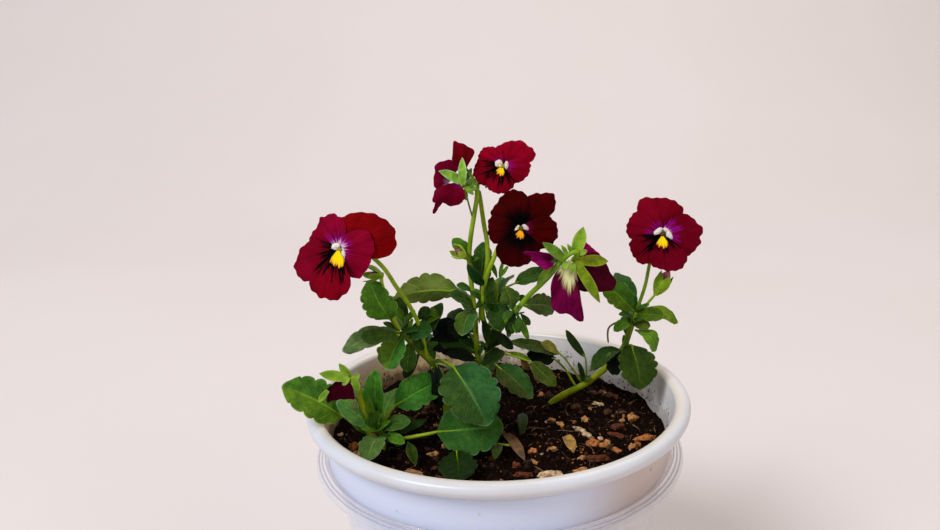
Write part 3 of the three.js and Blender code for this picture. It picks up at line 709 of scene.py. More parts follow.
litterLook = {
    "crumbs": 900,
    "pebbles": 90,
    "fibres": 260,
    "reach": 86.0,
    "fibreStart": 84.0,
    "fibreReach": 85.0,
    "stemRoom": 6.0,
    "crumbTones": [(0.009, 0.004, 0.002), (0.016, 0.007, 0.003), (0.050, 0.019, 0.006)],
    "pebbleTones": (tan, orange, pale, bark, bark, rust),
    "fibreTones": [(0.16, 0.08, 0.04), (0.06, 0.03, 0.018), (0.28, 0.17, 0.09)],
    "shade": (0.45, 0.40, 0.36),
    "light": (1.25, 1.2, 1.15),
    "dirt": (0.03, 0.018, 0.012),
}
stemFeet = {"left": (-27, 5), "front_left": (-60, -20), "centre": (-8, 14), "right": (30, 26)}


def litterMaterial(look):
    material, shader, where = newMaterial("bark_and_stone", 0.8, 0.08)
    grain = mottle(where, 700, 4, 0.65)
    worn = mixColour(fade(grain, 0.35, 0.7), look["shade"], look["light"])
    dirt = fade(mottle(where, 260, 3), 0.55, 0.68, 0, 0.75)
    tone = mixColour(dirt, tinted(pointColour(shader, "tint"), worn), look["dirt"])
    finishMaterial(shader, tone, grain, 0.5, 0.0005)
    return material


def groundLitter(look):
    random = randomFrom(17)
    crumbShapes = [lump(1, seed, 0.4) for seed in range(4)] + [lump(2, seed, 0.35) for seed in range(4)]
    stoneShapes = [lump(3, seed + 20, 0.33) for seed in range(5)]
    paints = [litterMaterial(look)]

    def spot(most):
        turn, reach = 2 * math.pi * random.random(), most * math.sqrt(random.random())
        return reach * math.cos(turn), reach * math.sin(turn)

    def ground(x, y, lift):
        return (x, y, float(soilHeight(x, y)) + crumbly(x, y) + lift)

    def anyOf(choices):
        return choices[random.integers(0, len(choices))]

    crumbs = []
    for _ in range(look["crumbs"]):
        x, y = spot(look["reach"])
        size = 0.9 + 2.6 * random.random() ** 2.5
        sides = size * random.uniform(0.7, 1.3, 3)
        shade = random.uniform(0.35, 1.5)
        colour = [shade * c for c in anyOf(look["crumbTones"])]
        crumbs.append(placedCopy(anyOf(crumbShapes), ground(x, y, 0.12 * size), sides,
                                 random.uniform(0, 6.28, 2), colour))
    finishedPiece("peat_crumbs", crumbs, paints, "soil", angle=50)

    stones = []
    for x, y, long, wide, tall, turn, colour in placedChips:
        stones.append(placedCopy(anyOf(stoneShapes), ground(x, y, 0.22 * tall), (long, wide, tall),
                                 (math.radians(turn), random.uniform(-0.3, 0.3)), colour))
    for _ in range(look["pebbles"]):
        x, y = spot(look["reach"])
        if min(math.hypot(x - footX, y - footY) for footX, footY in stemFeet.values()) < look["stemRoom"]:
            continue
        size = 1.6 + 3.2 * random.random() ** 2
        sides = size * random.uniform(0.6, 1.2, 3)
        colour = anyOf(look["pebbleTones"])
        shade = random.uniform(0.5, 1.1)
        stones.append(placedCopy(anyOf(stoneShapes), ground(x, y, 0.15 * size), sides,
                                 random.uniform(0, 6.28, 2), [shade * c for c in colour]))
    finishedPiece("chips_and_pebbles", stones, paints, "soil", angle=60)

    fibres = []
    for _ in range(look["fibres"]):
        x, y = spot(look["fibreStart"])
        turn, length = 6.28 * random.random(), 3 + 9 * random.random()
        stepX, stepY = length * math.cos(turn) / 3, length * math.sin(turn) / 3
        points = []
        for i in range(4):
            pointX = x + stepX * i + random.uniform(-0.8, 0.8)
            pointY = y + stepY * i + random.uniform(-0.8, 0.8)
            pull = min(1, look["fibreReach"] / max(math.hypot(pointX, pointY), 1))
            lift = 0.25 + 0.9 * random.random() * math.sin(math.pi * i / 3)
            points.append(ground(pointX * pull, pointY * pull, lift))
        colour = anyOf(look["fibreTones"])
        fibres.append(formedTube(points, random.uniform(0.12, 0.28), 0.06, 4, 7, tint=colour))
    finishedPiece("peat_fibres", fibres, paints, "soil", seams=True)
    for shape in crumbShapes + stoneShapes:
        bpy.data.objects.remove(shape)


peatBody(soilLook)
groundLitter(litterLook)
print("peat made")


# Leaves

leafLook = {
    "thickness": 0.34,
    "notch": 0.17,
    "quilt": 0.30,
    "ranks": 6.5,
    "slant": 0.28,
    "stipule": 8.5,
    "top": (0.024, 0.078, 0.007),
    "topLight": (0.050, 0.130, 0.013),
    "shadow": (0.010, 0.036, 0.003),
    "vein": (0.13, 0.26, 0.035),
    "margin": (0.22, 0.34, 0.12),
    "under": (0.125, 0.175, 0.032),
    "underShadow": (0.070, 0.110, 0.018),
    "underVein": (0.185, 0.235, 0.065),
}
stalkLook = {"colour": (0.16, 0.265, 0.006), "light": (0.29, 0.42, 0.014), "flecks": (0.38, 0.46, 0.06)}


def fromMiddle(across):
    # how far a point lies from the middle line of its blade, 0 to 1
    return abs(across * 2.0 - 1.0)


def leafMaterial(name, look, under=False):
    material, shader, where = newMaterial(name, 0.46, 0.09)
    across, along = patternPlace(shader)
    side = fromMiddle(across)
    large, fine = mottle(where, 130, 3), mottle(where, 2200, 3, 0.7)
    # side veins run forward from the midrib
    ladder = calc("PINGPONG", (along - side * look["slant"]) * look["ranks"] + large * 0.5, 0.5)
    veins = fade(ladder, 0.09, 0.0) * fade(side, 1.0, 0.6)
    midrib = fade(side, 0.085, 0.02) * fade(along, 1.05, 0.5)
    net = fade(cells(where, 620, "DISTANCE_TO_EDGE"), 0.10, 0.0)
    if under:
        tone = layered(
            mixColour(fade(large, 0.35, 0.65), look["under"], look["underShadow"]),
            (veins * 0.7, look["underVein"]), (midrib, look["underVein"]))
    else:
        rim = calc("MAXIMUM", fade(side, 0.93, 1.0), fade(along, 0.965, 1.0))
        tone = layered(
            mixColour(fade(large, 0.35, 0.65), look["top"], look["topLight"]),
            (fade(ladder, 0.16, 0.06, 0, 0.35), look["shadow"]),
            (fade(mottle(where, 420, 3), 0.55, 0.4, 0, 0.4), look["shadow"]),
            (net * 0.16, look["vein"]), (veins * 0.30, look["vein"]), (midrib * 0.65, look["vein"]),
            (rim * 0.36, look["margin"]))
    tone = tinted(tone, pointColour(shader, "tint"))
    tone = mixColour(fade(fine, 0.6, 0.75, 0, 0.2), tone, look["margin"])
    put(shader.inputs["Roughness"], fine * 0.2 + 0.36)
    # the veins lie sunk in the upper side and stand out on the underside
    height = (midrib + veins * 0.6) * (0.8 if under else -0.8) + (net + fine) * -0.25
    finishMaterial(shader, tone, height, 0.75, 0.0007)
    return material


def stalkMaterial(look):
    material, shader, where = newMaterial("green_stalk", 0.42, 0.12)
    fine = mottle(where, 1500, 3)
    tone = mixColour(fade(mottle(where, 110, 3), 0.3, 0.7), look["colour"], look["light"])
    tone = tinted(tone, pointColour(shader, "tint"))
    tone = mixColour(fade(fine, 0.55, 0.8, 0, 0.35), tone, look["flecks"])
    finishMaterial(shader, tone, fine, 0.25, 0.0003)
    return material


def bladeFrame(root, tip, face):
    root, tip = np.array(root, float), np.array(tip, float)
    length = np.linalg.norm(tip - root)
    along = (tip - root) / length
    lifted = np.array(face, float)
    lifted = unit(lifted - along * (along @ lifted))
    return root, length, along, np.cross(along, lifted), lifted


def bladePlace(blade, forward, sideways, rise, side, station):
    # where the points of a blade lie, and their places on its pattern
    root, _, along, across, lifted = blade
    place = root + along * forward[:, None] + across * sideways[:, None] + lifted * rise[:, None]
    return place, np.stack([(side + 1) / 2, station], axis=1)


def leafOf(root, tip, width, face, tint=plain, more=None):
    return {"root": root, "tip": tip, "width": width, "face": face, "tint": tint, **(more or {})}


def leafBlade(leaf, random, look):
    blade = bladeFrame(leaf["root"], leaf["tip"], leaf["face"])
    length, width = blade[1], leaf["width"]
    stalked = "stalk" in leaf
    belly = 0.45 if stalked else 0.58   # where along the leaf it is widest
    skew = math.log(0.5) / math.log(belly)
    teeth = 1 + sum(width >= size for size in (6, 8, 13, 18))
    notch = look["notch"] if width >= 8 else 0.05
    relief = min(width / 18, 1.2)
    arch, fold = leaf.get("arch", 0.1), leaf.get("fold", 0.18)
    ripple, phase, twist = random.uniform(0.02, 0.045), random.uniform(0, 6.28), random.uniform(-0.06, 0.06)
    columns, rows = (16, 40) if width >= 18 else (12, 30) if width >= 10 else (8, 20)

    def shape(side, station):
        edge = np.sin(np.pi / 2 * side)
        far = np.abs(edge)
        oval = np.sin(np.pi * (0.06 + 0.86 * station) ** skew) ** (0.62 + 0.2 * (1 - station))
        oval = oval * (1 - 0.66 * np.exp(-station / (0.05 if stalked else 0.10)))
        if "blunt" in leaf:
            broad = 1 - np.abs(2 * station - 1.02) ** 3.0
            oval = np.maximum(oval, broad * (0.45 + 0.52 * np.minimum(station / 0.4, 1)))
        tooth = np.abs(np.sin(np.pi * teeth * station)) ** 0.55
        tooth = np.where(station > 1 - 0.5 / teeth, 1, tooth)
        half = width / 2 * oval * (1 - notch * (1 - tooth) * far ** 5)
        forward = length * (station + far ** 2 * (0.05 * station - 0.14 * station ** 5))
        forward = forward + 0.014 * length * far ** 4 * np.cos(np.pi * teeth * station) * (station < 0.9)
        rise = arch * length * np.sin(np.pi * station) + fold * half * far
        rank = (station - look["slant"] * far) * look["ranks"]
        quilt = look["quilt"] * relief * np.abs(np.sin(np.pi * rank)) * 4 * far * (1 - far)
        groove = -0.4 * relief * np.exp(-(far / 0.10) ** 2) * (1 - 0.6 * station)
        wave = ripple * width * far ** 2 * np.sin(2 * np.pi * 1.7 * station + phase + (edge > 0) * 2.1)
        lean = twist * half * edge * 2 * station
        return bladePlace(blade, forward, half * edge, rise + quilt + groove + wave + lean, edge, station)

    shade = random.uniform(0.9, 1.12)
    tint = np.array(leaf["tint"]) * shade * random.uniform(0.94, 1.06, 3)
    if "half" in leaf:
        # one half of the leaf has a tint of its own
        share = np.clip(0.5 + 5 * gridTemplate(columns, rows)[1], 0, 1)[:, None]
        tint = tint * (1 - share) + np.array(leaf["half"]) * shade * share
    return formedSheet(columns, rows, shape, tint)


def petiole(leaf, random):
    # the stalk runs on under the blade as its midrib
    root, length, along, _, lifted = bladeFrame(leaf["root"], leaf["tip"], leaf["face"])
    arch = leaf.get("arch", 0.1)
    under = [root + along * length * share
             + lifted * (arch * length * math.sin(math.pi * share) - 0.55) for share in (0.16, 0.4, 0.66)]
    points = [*leaf.get("stalk", []), leaf["root"], *under]
    thick = leaf.get("thick", min(1.0, 0.45 + 0.025 * leaf["width"]))
    tint = np.array(plain) * random.uniform(0.8, 1.1)
    return formedTube(points, thick, 0.22, 6, 5 * (len(points) - 1), tint=tint)


bluish = (0.75, 1.05, 1.5)
# a pale bluish tint that paints a sheen on leaves: painted sheen
paintedSheen = (2.1, 1.4, 2.8)
bright = (1.9, 1.75, 0.8)
yellowish = (2.8, 1.9, 0.8)
olive = (1.5, 0.95, 0.9)
ochre = (4.6, 1.7, 2.0)
brown = (3.6, 0.8, 1.6)
# darkens leaves that lie in shade: painted shade
dark = (0.50, 0.52, 0.5)
# near black, for leaves deep in shade among the stems: painted shade
black = (0.03, 0.045, 0.05)

# A row is a leaf: root, tip, width, the way it faces, its tint and what else sets it apart. Its stalk is the
# points that lead to its root, arch and fold are how far it bows and folds up, half is the tint of its one
# half, and a blunt leaf is broad to its tip.
leftLeaves = [
    ((-53, -9, 214), (-62, -13, 236), 18, frontLeft, (2.05, 2.1, 1.3), {"stalk": [(-49, -8, 207)]}),
    # this small leaf is painted dark because it lies in shade: painted shade
    ((-44.5, -1, 212), (-54, 0, 222.5), 9.5, (0.2, -0.9, 0.3), (0.7, 0.5, 0.6)),
    # this leaf's pale bluish tint is a painted sheen
    ((-48, -9, 207), (-76.4, -22, 202.4), 11.5, (-0.1, -0.78, 0.62), (2.2, 1.5, 3.5), {"arch": 0.2}),
    ((-48, -15, 207.6), (-66.8, -24, 210.1), 7.5, front, (0.7, 0.65, 0.5), {"arch": 0.06}),
    ((-47, -8, 205), (-55, -20, 191), 15.5, frontLeft, (1.6, 2.2, 2.3),
     {"fold": 0.35, "half": (2.5, 1.9, 1.1)}),
    ((-46, -7, 204), (-32, -14, 209), 11, (0.1, -0.7, 0.7), bluish),
    ((-44, -6, 201), (-46, -14, 187), 9, (0.1, -0.9, 0.4)),
    # the bluish tint over one half of this broad leaf is a painted reflection of the sky; its other half is
    # olive
    ((-22, -14, 188.6), (-6, -40, 168), 30, up, (0.5, 0.86, 1.5),
     {"stalk": [(-33.5, -2, 186.5), (-30.4, -3, 188.3), (-26, -8, 189)], "thick": 1.35,
      "half": (0.75, 0.72, 0.9)}),
    ((-40, -4, 195), (-27, 6, 217), 9, (0, -0.5, 0.8), dark),
    ((-45, -6, 201), (-60, 16, 210), 13, backLow, plain, {"arch": 0.16}),
    ((-34, -2, 188), (-46, 26, 192), 15, backLow, plain, {"arch": 0.16}),
    ((-39, -4, 194), (-31, 20, 207), 11, backLow, plain, {"arch": 0.12}),
    ((-46.5, -7, 211.5), (-49.8, -9, 220.8), 3.5, front, bright),
    ((-45.4, -7, 211.5), (-40.4, -8, 218), 3, front, bright),
    ((-47.7, -9, 205.3), (-53.4, -11, 208.9), 3, up),
    ((-42.9, -6, 202.4), (-37, -8, 196.3), 4, front, dark),
    ((-30.3, -14, 191.8), (-29.6, -20, 169.2), 7.5, (0, -0.9, 0.3), black),
    ((-33.1, -10, 188.2), (-37.8, -16, 171.1), 6.5, (0, -0.9, 0.3), black),
    ((-39.2, -6, 194.6), (-47.9, -10, 182.1), 5.5, front, dark),
    ((-39.6, -4, 211.3), (-33.4, -3, 217.6), 6, front, dark),
    ((-44.5, -10, 206.6), (-41.8, -9, 213.8), 2, front, yellowish),
]

frontLeftLeaves = [
    ((-78, -27, 170), (-105, -33, 190), 22, (-0.1, -0.6, 0.8), (2.2, 1.8, 0.8),
     {"stalk": [(-61, -22, 154), (-70, -25, 162), (-76, -26, 168)], "arch": 0.08, "half": (1.5, 1.6, 1.2)}),
    ((-61, -24, 168), (-60, -26, 194), 11, (-0.2, -0.95, 0.2), (1.3, 2.0, 1.3),
     {"stalk": [(-61, -23, 158)], "fold": 0.5}),
    # this leaf's pale bluish tint is a painted sheen
    ((-61, -23, 160), (-80, -29, 179), 10.5, (-0.2, -0.7, 0.7), (2.0, 2.1, 3.6)),
    ((-60, -23, 160), (-44, -30, 167), 9, up),
    ((-60, -23, 156), (-64, -50, 157), 13, (-0.1, -0.7, 0.7), paintedSheen, {"arch": 0.14}),
    ((-52, -21, 172), (-28, -12, 181), 18, (0, -0.75, 0.65), (0.72, 1.15, 0.7),
     {"stalk": [(-60, -22, 159), (-56, -22, 168)]}),
    ((-31, -32, 162), (2, -29, 162), 27, (0, -0.82, 0.58), (0.65, 0.88, 0.85),
     {"stalk": [(-60, -22, 154), (-50, -28, 157), (-36, -32, 161)], "thick": 1.25, "arch": 0.04}),
    ((-21.5, -43, 157.4), (-20.3, -62, 151.7), 19, up, (0.14, 0.2, 0.05), {"arch": 0.06}),
    ((-61, -24, 162), (-67, -28, 184), 4.5, front, bright),
    ((-59, -24, 157), (-47, -37, 159), 6, up, bright),
    ((-60, -20, 158), (-80, 0, 174), 15, backLow, plain, {"arch": 0.14}),
    ((-60, -20, 157), (-53, 5, 170), 13, backLow, plain, {"arch": 0.14}),
    ((-60, -24, 160), (-69, -30, 165), 5, up, bright),
    ((-66.4, -24, 159.4), (-66.9, -27, 176.1), 3, front, bright),
    ((-64.4, -24, 159.3), (-58.6, -27, 174.2), 3.5, front, bright),
    ((-67.3, -25, 158.8), (-74, -29, 169.8), 3, front, bright),
    ((-62.8, -25, 158.7), (-54.4, -28, 166.9), 3, up, bright),
    ((-65.1, -26, 160.9), (-62.4, -29, 173.1), 3, front),
    ((-60.1, -26, 159.1), (-48.6, -34, 156.1), 4, up, dark),
    ((-54.3, -24, 158.9), (-44.1, -20, 164.3), 4.5, up, dark),
    ((-51.2, -26, 157.6), (-37.2, -18, 161.9), 4.5, up, dark),
    ((-69.8, -30, 172.1), (-71.1, -33, 182.7), 3.4, front, (5, 3, 7)),
    ((-45.6, -34, 158.1), (-41.3, -46, 152.1), 5, up, (0.8, 0.6, 0.4), {"fold": 0.9}),
]

centreLeaves = [
    ((-12, 4, 242), (-20, 3, 252), 8, front, bright, {"stalk": [(-11, 4, 232)]}),
    ((-6.5, 9, 225), (-4, 15, 247), 12, front, plain, {"stalk": [(-8, 7, 204), (-7, 8, 216)]}),
    # this leaf's dark bluish tint is painted shade
    ((-5, 1, 227), (-13, -4, 240), 5.5, (-0.3, -0.9, 0.3), (0.2, 0.35, 0.5), {"stalk": [(-6, 5, 218)]}),
    ((-18, 6, 223), (-51, -2, 223), 20, (0.1, 0.9, 0.43), (2.3, 2.3, 2.2), {"stalk": [(-10, 5, 216)]}),
    ((-10, 5, 213), (-23, -6, 225), 9, (-0.1, -0.6, 0.8)),
    # this leaf's bluish tint is a painted sheen
    ((-10, 5, 212), (-17, -13, 205), 12, (-0.3, -0.8, 0.5), (1.4, 1.4, 2.2),
     {"arch": 0.2, "half": (1.8, 1.2, 1.0)}),
    ((-9, 8, 187), (-33, 13, 200), 15, (0, -0.7, 0.7), dark),
    ((-10, 6, 199), (-24, 20, 207), 13, up, dark),
    ((11, -2, 213), (17, -5, 199), 3.5, front, bright),
    ((-1, 11, 205), (8, 4, 217), 7, front),
    ((1, 2, 182), (18, -12, 169), 14, (0.1, -0.8, 0.6), (0.5, 0.62, 0.7),
     {"stalk": [(-7, 10, 180), (-3, 5, 184)], "half": (0.95, 0.52, 0.5)}),
    ((-1, 9, 210), (-3, 3, 227), 6, front),
    ((19, 6, 182), (32, 3, 169), 9, front, olive, {"stalk": [(-4, 12, 186), (6, 6, 187)]}),
    ((-9, 8, 184), (-32, 31, 199), 15, backLow, plain, {"arch": 0.14}),
    ((-4, 12, 187), (18, 40, 199), 15, backLow, plain, {"arch": 0.14}),
    ((-2, 10, 202), (6, 38, 221), 13, backLow, plain, {"arch": 0.12}),
    ((-10, 6, 198), (-24, 31, 221), 12, backLow, plain, {"arch": 0.12}),
    ((1, 9, 214), (12, 24, 226), 9, backLow),
    ((-8, 14, 163), (2, 46, 172), 17, backLow, plain, {"arch": 0.16}),
    ((-9, 12, 160), (-38, 37, 169), 17, backLow, plain, {"arch": 0.16}),
    ((-11, 4, 223), (-19, 0, 228), 5, up),
    ((10, -1, 212), (11, -7, 203), 3.2, front, bright),
    ((8, 1, 209), (7, -4, 200), 3.2, front),
    # this leaf's dark tint is painted shade among the stems
    ((-5, 12, 186), (5, 3, 196), 4.5, up, (0.3, 0.3, 0.3)),
    ((11.6, 8, 225.6), (31.1, 12, 230.5), 9, (0, -0.7, 0.7), plain, {"stalk": [(3.6, 8, 222.3)]}),
    ((6.2, 6, 224.9), (10, 3, 214.8), 11, front, olive),
    ((14.8, 4, 214.8), (32.5, 8, 211.8), 13.5, (0, -0.8, 0.6), (1.6, 0.95, 1.6)),
    ((16.4, 4, 215.9), (13.8, 4, 220.3), 4, front, dark),
    ((-27.8, 0, 210.6), (-36.3, -2, 215.4), 3, up, bright),
    ((-28.2, -2, 211.9), (-35.4, -4, 209.5), 2.5, up, bright),
    ((-29.7, -1, 212.1), (-32.6, -2, 217.4), 2.5, front, bright),
    ((-7.9, 2, 228.2), (-10.2, 1, 236.1), 2.5, front, bright),
    ((-5, 4, 217.8), (0, 4, 230.6), 4.5, front, dark),
    ((-2, 6, 213.2), (-4.8, 6, 224.3), 6, front, dark),
    ((2.1, 3, 230.2), (-0.8, 2, 239.1), 2.5, front, bright),
    ((3.1, 3, 230.7), (5.3, 2, 238.9), 2, front, bright),
    ((3.1, 3, 229.7), (7.9, 2, 236.7), 2, front, bright),
    ((8.7, 0, 212.5), (2.4, -3, 216.4), 5, up, dark),
    ((10.1, -3, 213.9), (4.2, -6, 210.8), 4.5, up),
    ((11.3, 0, 213.5), (8.3, -1, 218.2), 3.5, front, olive),
    ((10.6, -3, 212.3), (8.6, -6, 202.5), 3.5, front, dark),
    ((12.1, -4, 212.6), (12.2, -7, 203.3), 3.5, front),
    ((13.3, -2, 212.4), (18.2, -3, 206), 3.5, front, dark),
    ((15.7, -2, 207.4), (17, -3, 197.3), 2, front, dark),
    ((10.1, -3, 212.9), (5.6, -5, 203.9), 3, front, dark),
    ((-4.3, -2, 214.2), (4.5, -7, 205.7), 6.5, front, dark),
    # the dark tints of these two leaves are painted shade among the stems
    ((-2.3, 5, 202.4), (9.4, 2, 191.3), 5.5, front, (0.12, 0.14, 0.12)),
    ((-6.3, 8, 207.2), (-1, 5, 192.3), 6.5, front, (0.35, 0.4, 0.3)),
    ((-11.1, 13, 190.3), (-30.9, 10, 205.8), 13, (0, -0.9, 0.3), black),
    ((-14.5, 10, 187.5), (-34.4, 6, 196.6), 12, (0, -0.8, 0.5), black),
    ((-9.3, 4, 184.5), (-26, 0, 191.2), 8.5, up, black),
    ((-13.1, 6, 196.9), (-24.3, 2, 207.7), 9.5, (0, -0.9, 0.3), black),
    ((-8.3, 6, 180.8), (5.2, 4, 189), 7.5, up, dark),
    ((10.2, -3.5, 213.2), (12.8, -4.5, 217.4), 3, front, (5, 3.6, 4)),
    ((14, 6, 152), (12, -18, 152), 5.5, up, (0.5, 0.4, 0.25), {"arch": 0.12, "fold": 0.5}),
    ((-1, -29, 152.5), (-3, -42, 151.5), 5.5, up, (0.6, 0.45, 0.3),
     {"stalk": [(6, -30, 152)], "fold": 0.5}),
    ((13.5, 9, 184), (17.6, 8, 176.7), 4, front, brown, {"fold": 0.6}),
    ((21.2, 12, 175), (24.2, 10, 168.6), 4, front, brown, {"fold": 0.6}),
    ((5.4, 8, 187.5), (18.9, 9, 182), 3, up, yellowish),
]

rightLeaves = [
    ((50, 18, 179), (39, 14, 196.5), 4.6, front, dark,
     {"stalk": [(51, 20, 163), (51, 19, 172)], "arch": -0.12}),
    ((50, 21, 163), (46, 16, 177), 3, front, dark),
    ((70, 14, 184), (51.5, 6, 176), 9, (-0.25, -0.6, 0.75), (0.6, 0.55, 0.5), {"arch": 0.24, "fold": 0.45}),
    ((70, 14, 183), (62, 6, 178), 5, frontLeft, olive),
    ((69, 8, 177.2), (59.3, 4, 178), 9.5, (-0.1, -0.9, 0.4), black),
    ((74, 11, 187.5), (76, -4, 168), 21.5, (0.1, -0.9, 0.4), (0.55, 0.42, 0.14),
     {"stalk": [(70, 14, 184)], "arch": 0.12, "blunt": 1}),
    ((76, 12, 206), (60, 15, 222), 14, (-0.2, -0.8, 0.5), (2.0, 1.7, 0.5), {"half": (1.1, 1.3, 0.6)}),
    ((78, 12, 207), (97.5, 6, 201), 8, (0, -0.6, 0.8), yellowish, {"arch": 0.2}),
    ((76, 12, 205), (89.2, 2, 206.7), 8, front, (1.9, 1.4, 0.4)),
    ((74, 12, 199.7), (63.4, 5, 198), 6.5, up, bright, {"arch": 0.25}),
    ((74, 12, 200), (83, 6, 199.8), 6, front, (2.2, 1.2, 0.8)),
    ((76, 12, 196), (86, 6, 185.5), 10, (0.35, -0.75, 0.55), (2.2, 1.9, 0.8), {"arch": 0.34}),
    ((36, 17, 182), (8, 17, 190), 8, up, olive, {"stalk": [(49, 21, 162), (42, 18, 174)], "arch": 0.05}),
    ((35, 16.5, 182), (25.5, 13.5, 190), 6.5, up, ochre),
    ((33.5, 22, 177), (18, 20, 181.5), 10, front, black, {"stalk": [(46, 22, 159), (40, 26, 169)]}),
    ((62, 18, 170), (61, 38, 171), 9, backLow, plain, {"arch": 0.1}),
    ((72, 13, 191), (84, 36, 200), 13, backLow, plain, {"arch": 0.14}),
    ((76, 12, 205), (70, 35, 222), 11, backLow, (0.6, 0.85, 0.5), {"arch": 0.1}),
    ((75, 12, 203), (66, 6, 207), 3.5, up),
    ((59.5, 6, 179), (61.3, 5, 186.4), 2.2, front, paintedSheen),
]


# Blooms

viewer = np.array(cameraLook["place"]) / mm
petalLook = {"thickness": 0.3, "pit": 2.2, "ruffle": 0.034, "span": 80}
beardLook = {"lift": 1.3, "shade": (0.62, 0.58, 0.55), "light": (0.9, 0.9, 0.9)}


def bloomFrame(bloom):
    outward = unit(bloom["face"])
    right = unit(np.cross((0, 0, 1), outward))
    return np.array(bloom["centre"], float), right, np.cross(outward, right), outward


def toWorld(bloom, x, y, z):
    centre, right, top, outward = bloomFrame(bloom)
    x, y, z = np.asarray(x, float), np.asarray(y, float), np.asarray(z, float)
    return centre + x[..., None] * right + y[..., None] * top + z[..., None] * outward


def onPetal(bloom, x, y, height):
    # heights run toward the viewer, so that a drawn outline keeps its shape
    centre, _, _, outward = bloomFrame(bloom)
    sight = unit(viewer - centre)
    return toWorld(bloom, x, y, 0) + np.asarray(height, float)[..., None] * sight / (sight @ outward)


# An open petal is its layer in millimetres, its curl, the angle of its axis (None is half way between its
# ends), its marks, its tint, and its outline in pairs of angle and reach about the bloom's eye.
# A drawn petal is its claw in x and z, its depth y, its lift, its marks, its tint, and its outline in x and
# z, from one side of the claw round to the other.
# Marks are the reach of the black rays and the violet rays in units of 20 mm, and of the yellow and the
# white in units of 10 mm. A beard is x, y, length, width, height, turn in degrees, and colour.
# A sepal of a calyx is its root, its tip, its width and, where it isn't plain, its tint.
leftBloom = {
    "name": "bloom_left", "centre": (-72, -36, 253), "face": (-0.3, -0.93, 0.2), "eye": (-1.2, 2.9),
    "throat": (-0.2, 4.6),
    "stalk": [(-36, -4, 190), (-38, -8, 207), (-42, -14, 221), (-48, -20, 234), (-53, -25, 245),
              (-60, -28, 253), (-67, -29, 255)],
    "beards": [(-1.4, 0.9, 4.4, 3.2, 1.8, 12, (1, 0.97, 0.96)),
               (2.4, -2.3, 5.2, 2.1, 1.6, 97, (1, 0.96, 0.94)),
               (-1.0, 0.7, 3.2, 2.0, 2.5, 5, (0.8, 0.86, 0.5)),
               (1.1, -0.5, 2.0, 1.8, 2.2, 0, (0.36, 0.33, 0.05))],
    "petals": [
        (-1.7, 0.14, None, (0, 0, 0, 0), (0.95, 1, 0.25), [(-16, 9), (-8, 17), (-5, 23), (-2, 26), (3, 29),
         (9, 30.7), (16, 31), (24, 30.8), (31, 29.8), (41, 26.7), (50, 24.5), (60, 21.5), (69, 19.2),
         (78, 17), (90, 16), (102, 13), (112, 8)]),
        # this upper left petal is tinted lighter and more magenta; the extra lightness is painted light
        (-0.5, 0.1, None, (0, 0.52, 0, 0.58), (1.15, 1, 2.2), [(56, 7), (66, 12), (76, 15), (85, 16),
         (92, 17.4), (100, 18), (110, 17.6), (119, 17.8), (126, 16.2), (137, 15), (148, 15.4), (160, 15),
         (172, 13), (184, 8)]),
        (0.7, 0.1, None, (0.7, 0.34, 0, 0.15), (0.95, 1, 1.5), [(130, 5), (142, 9), (154, 13), (164, 15),
         (171, 17), (179, 19), (189, 20.5), (197, 22.8), (206, 23.5), (214, 22.8), (223, 21), (232, 17.5),
         (240, 13), (250, 7)]),
        (0.7, 0.1, None, (0.12, 0.48, 0, 0.58), (1.1, 1, 1.9), [(292, 7), (303, 13), (314, 16.2), (326, 17),
         (340, 17.5), (352, 17.8), (362, 18.7), (370, 19.2), (380, 19.2), (390, 18.8), (399, 16.8),
         (409, 13.5), (421, 9.8), (434, 7), (446, 4)]),
        (1.9, 0.06, 267, (0.96, 0, 0.9, 0), plain, [(208, 6), (215, 12), (223, 18), (232, 21.6),
         (240, 22.2), (248, 22.7), (257, 22.3), (266, 22.6), (275, 21.4), (283, 20), (291, 18.4),
         (299, 15.5), (307, 11), (316, 6)]),
    ],
}

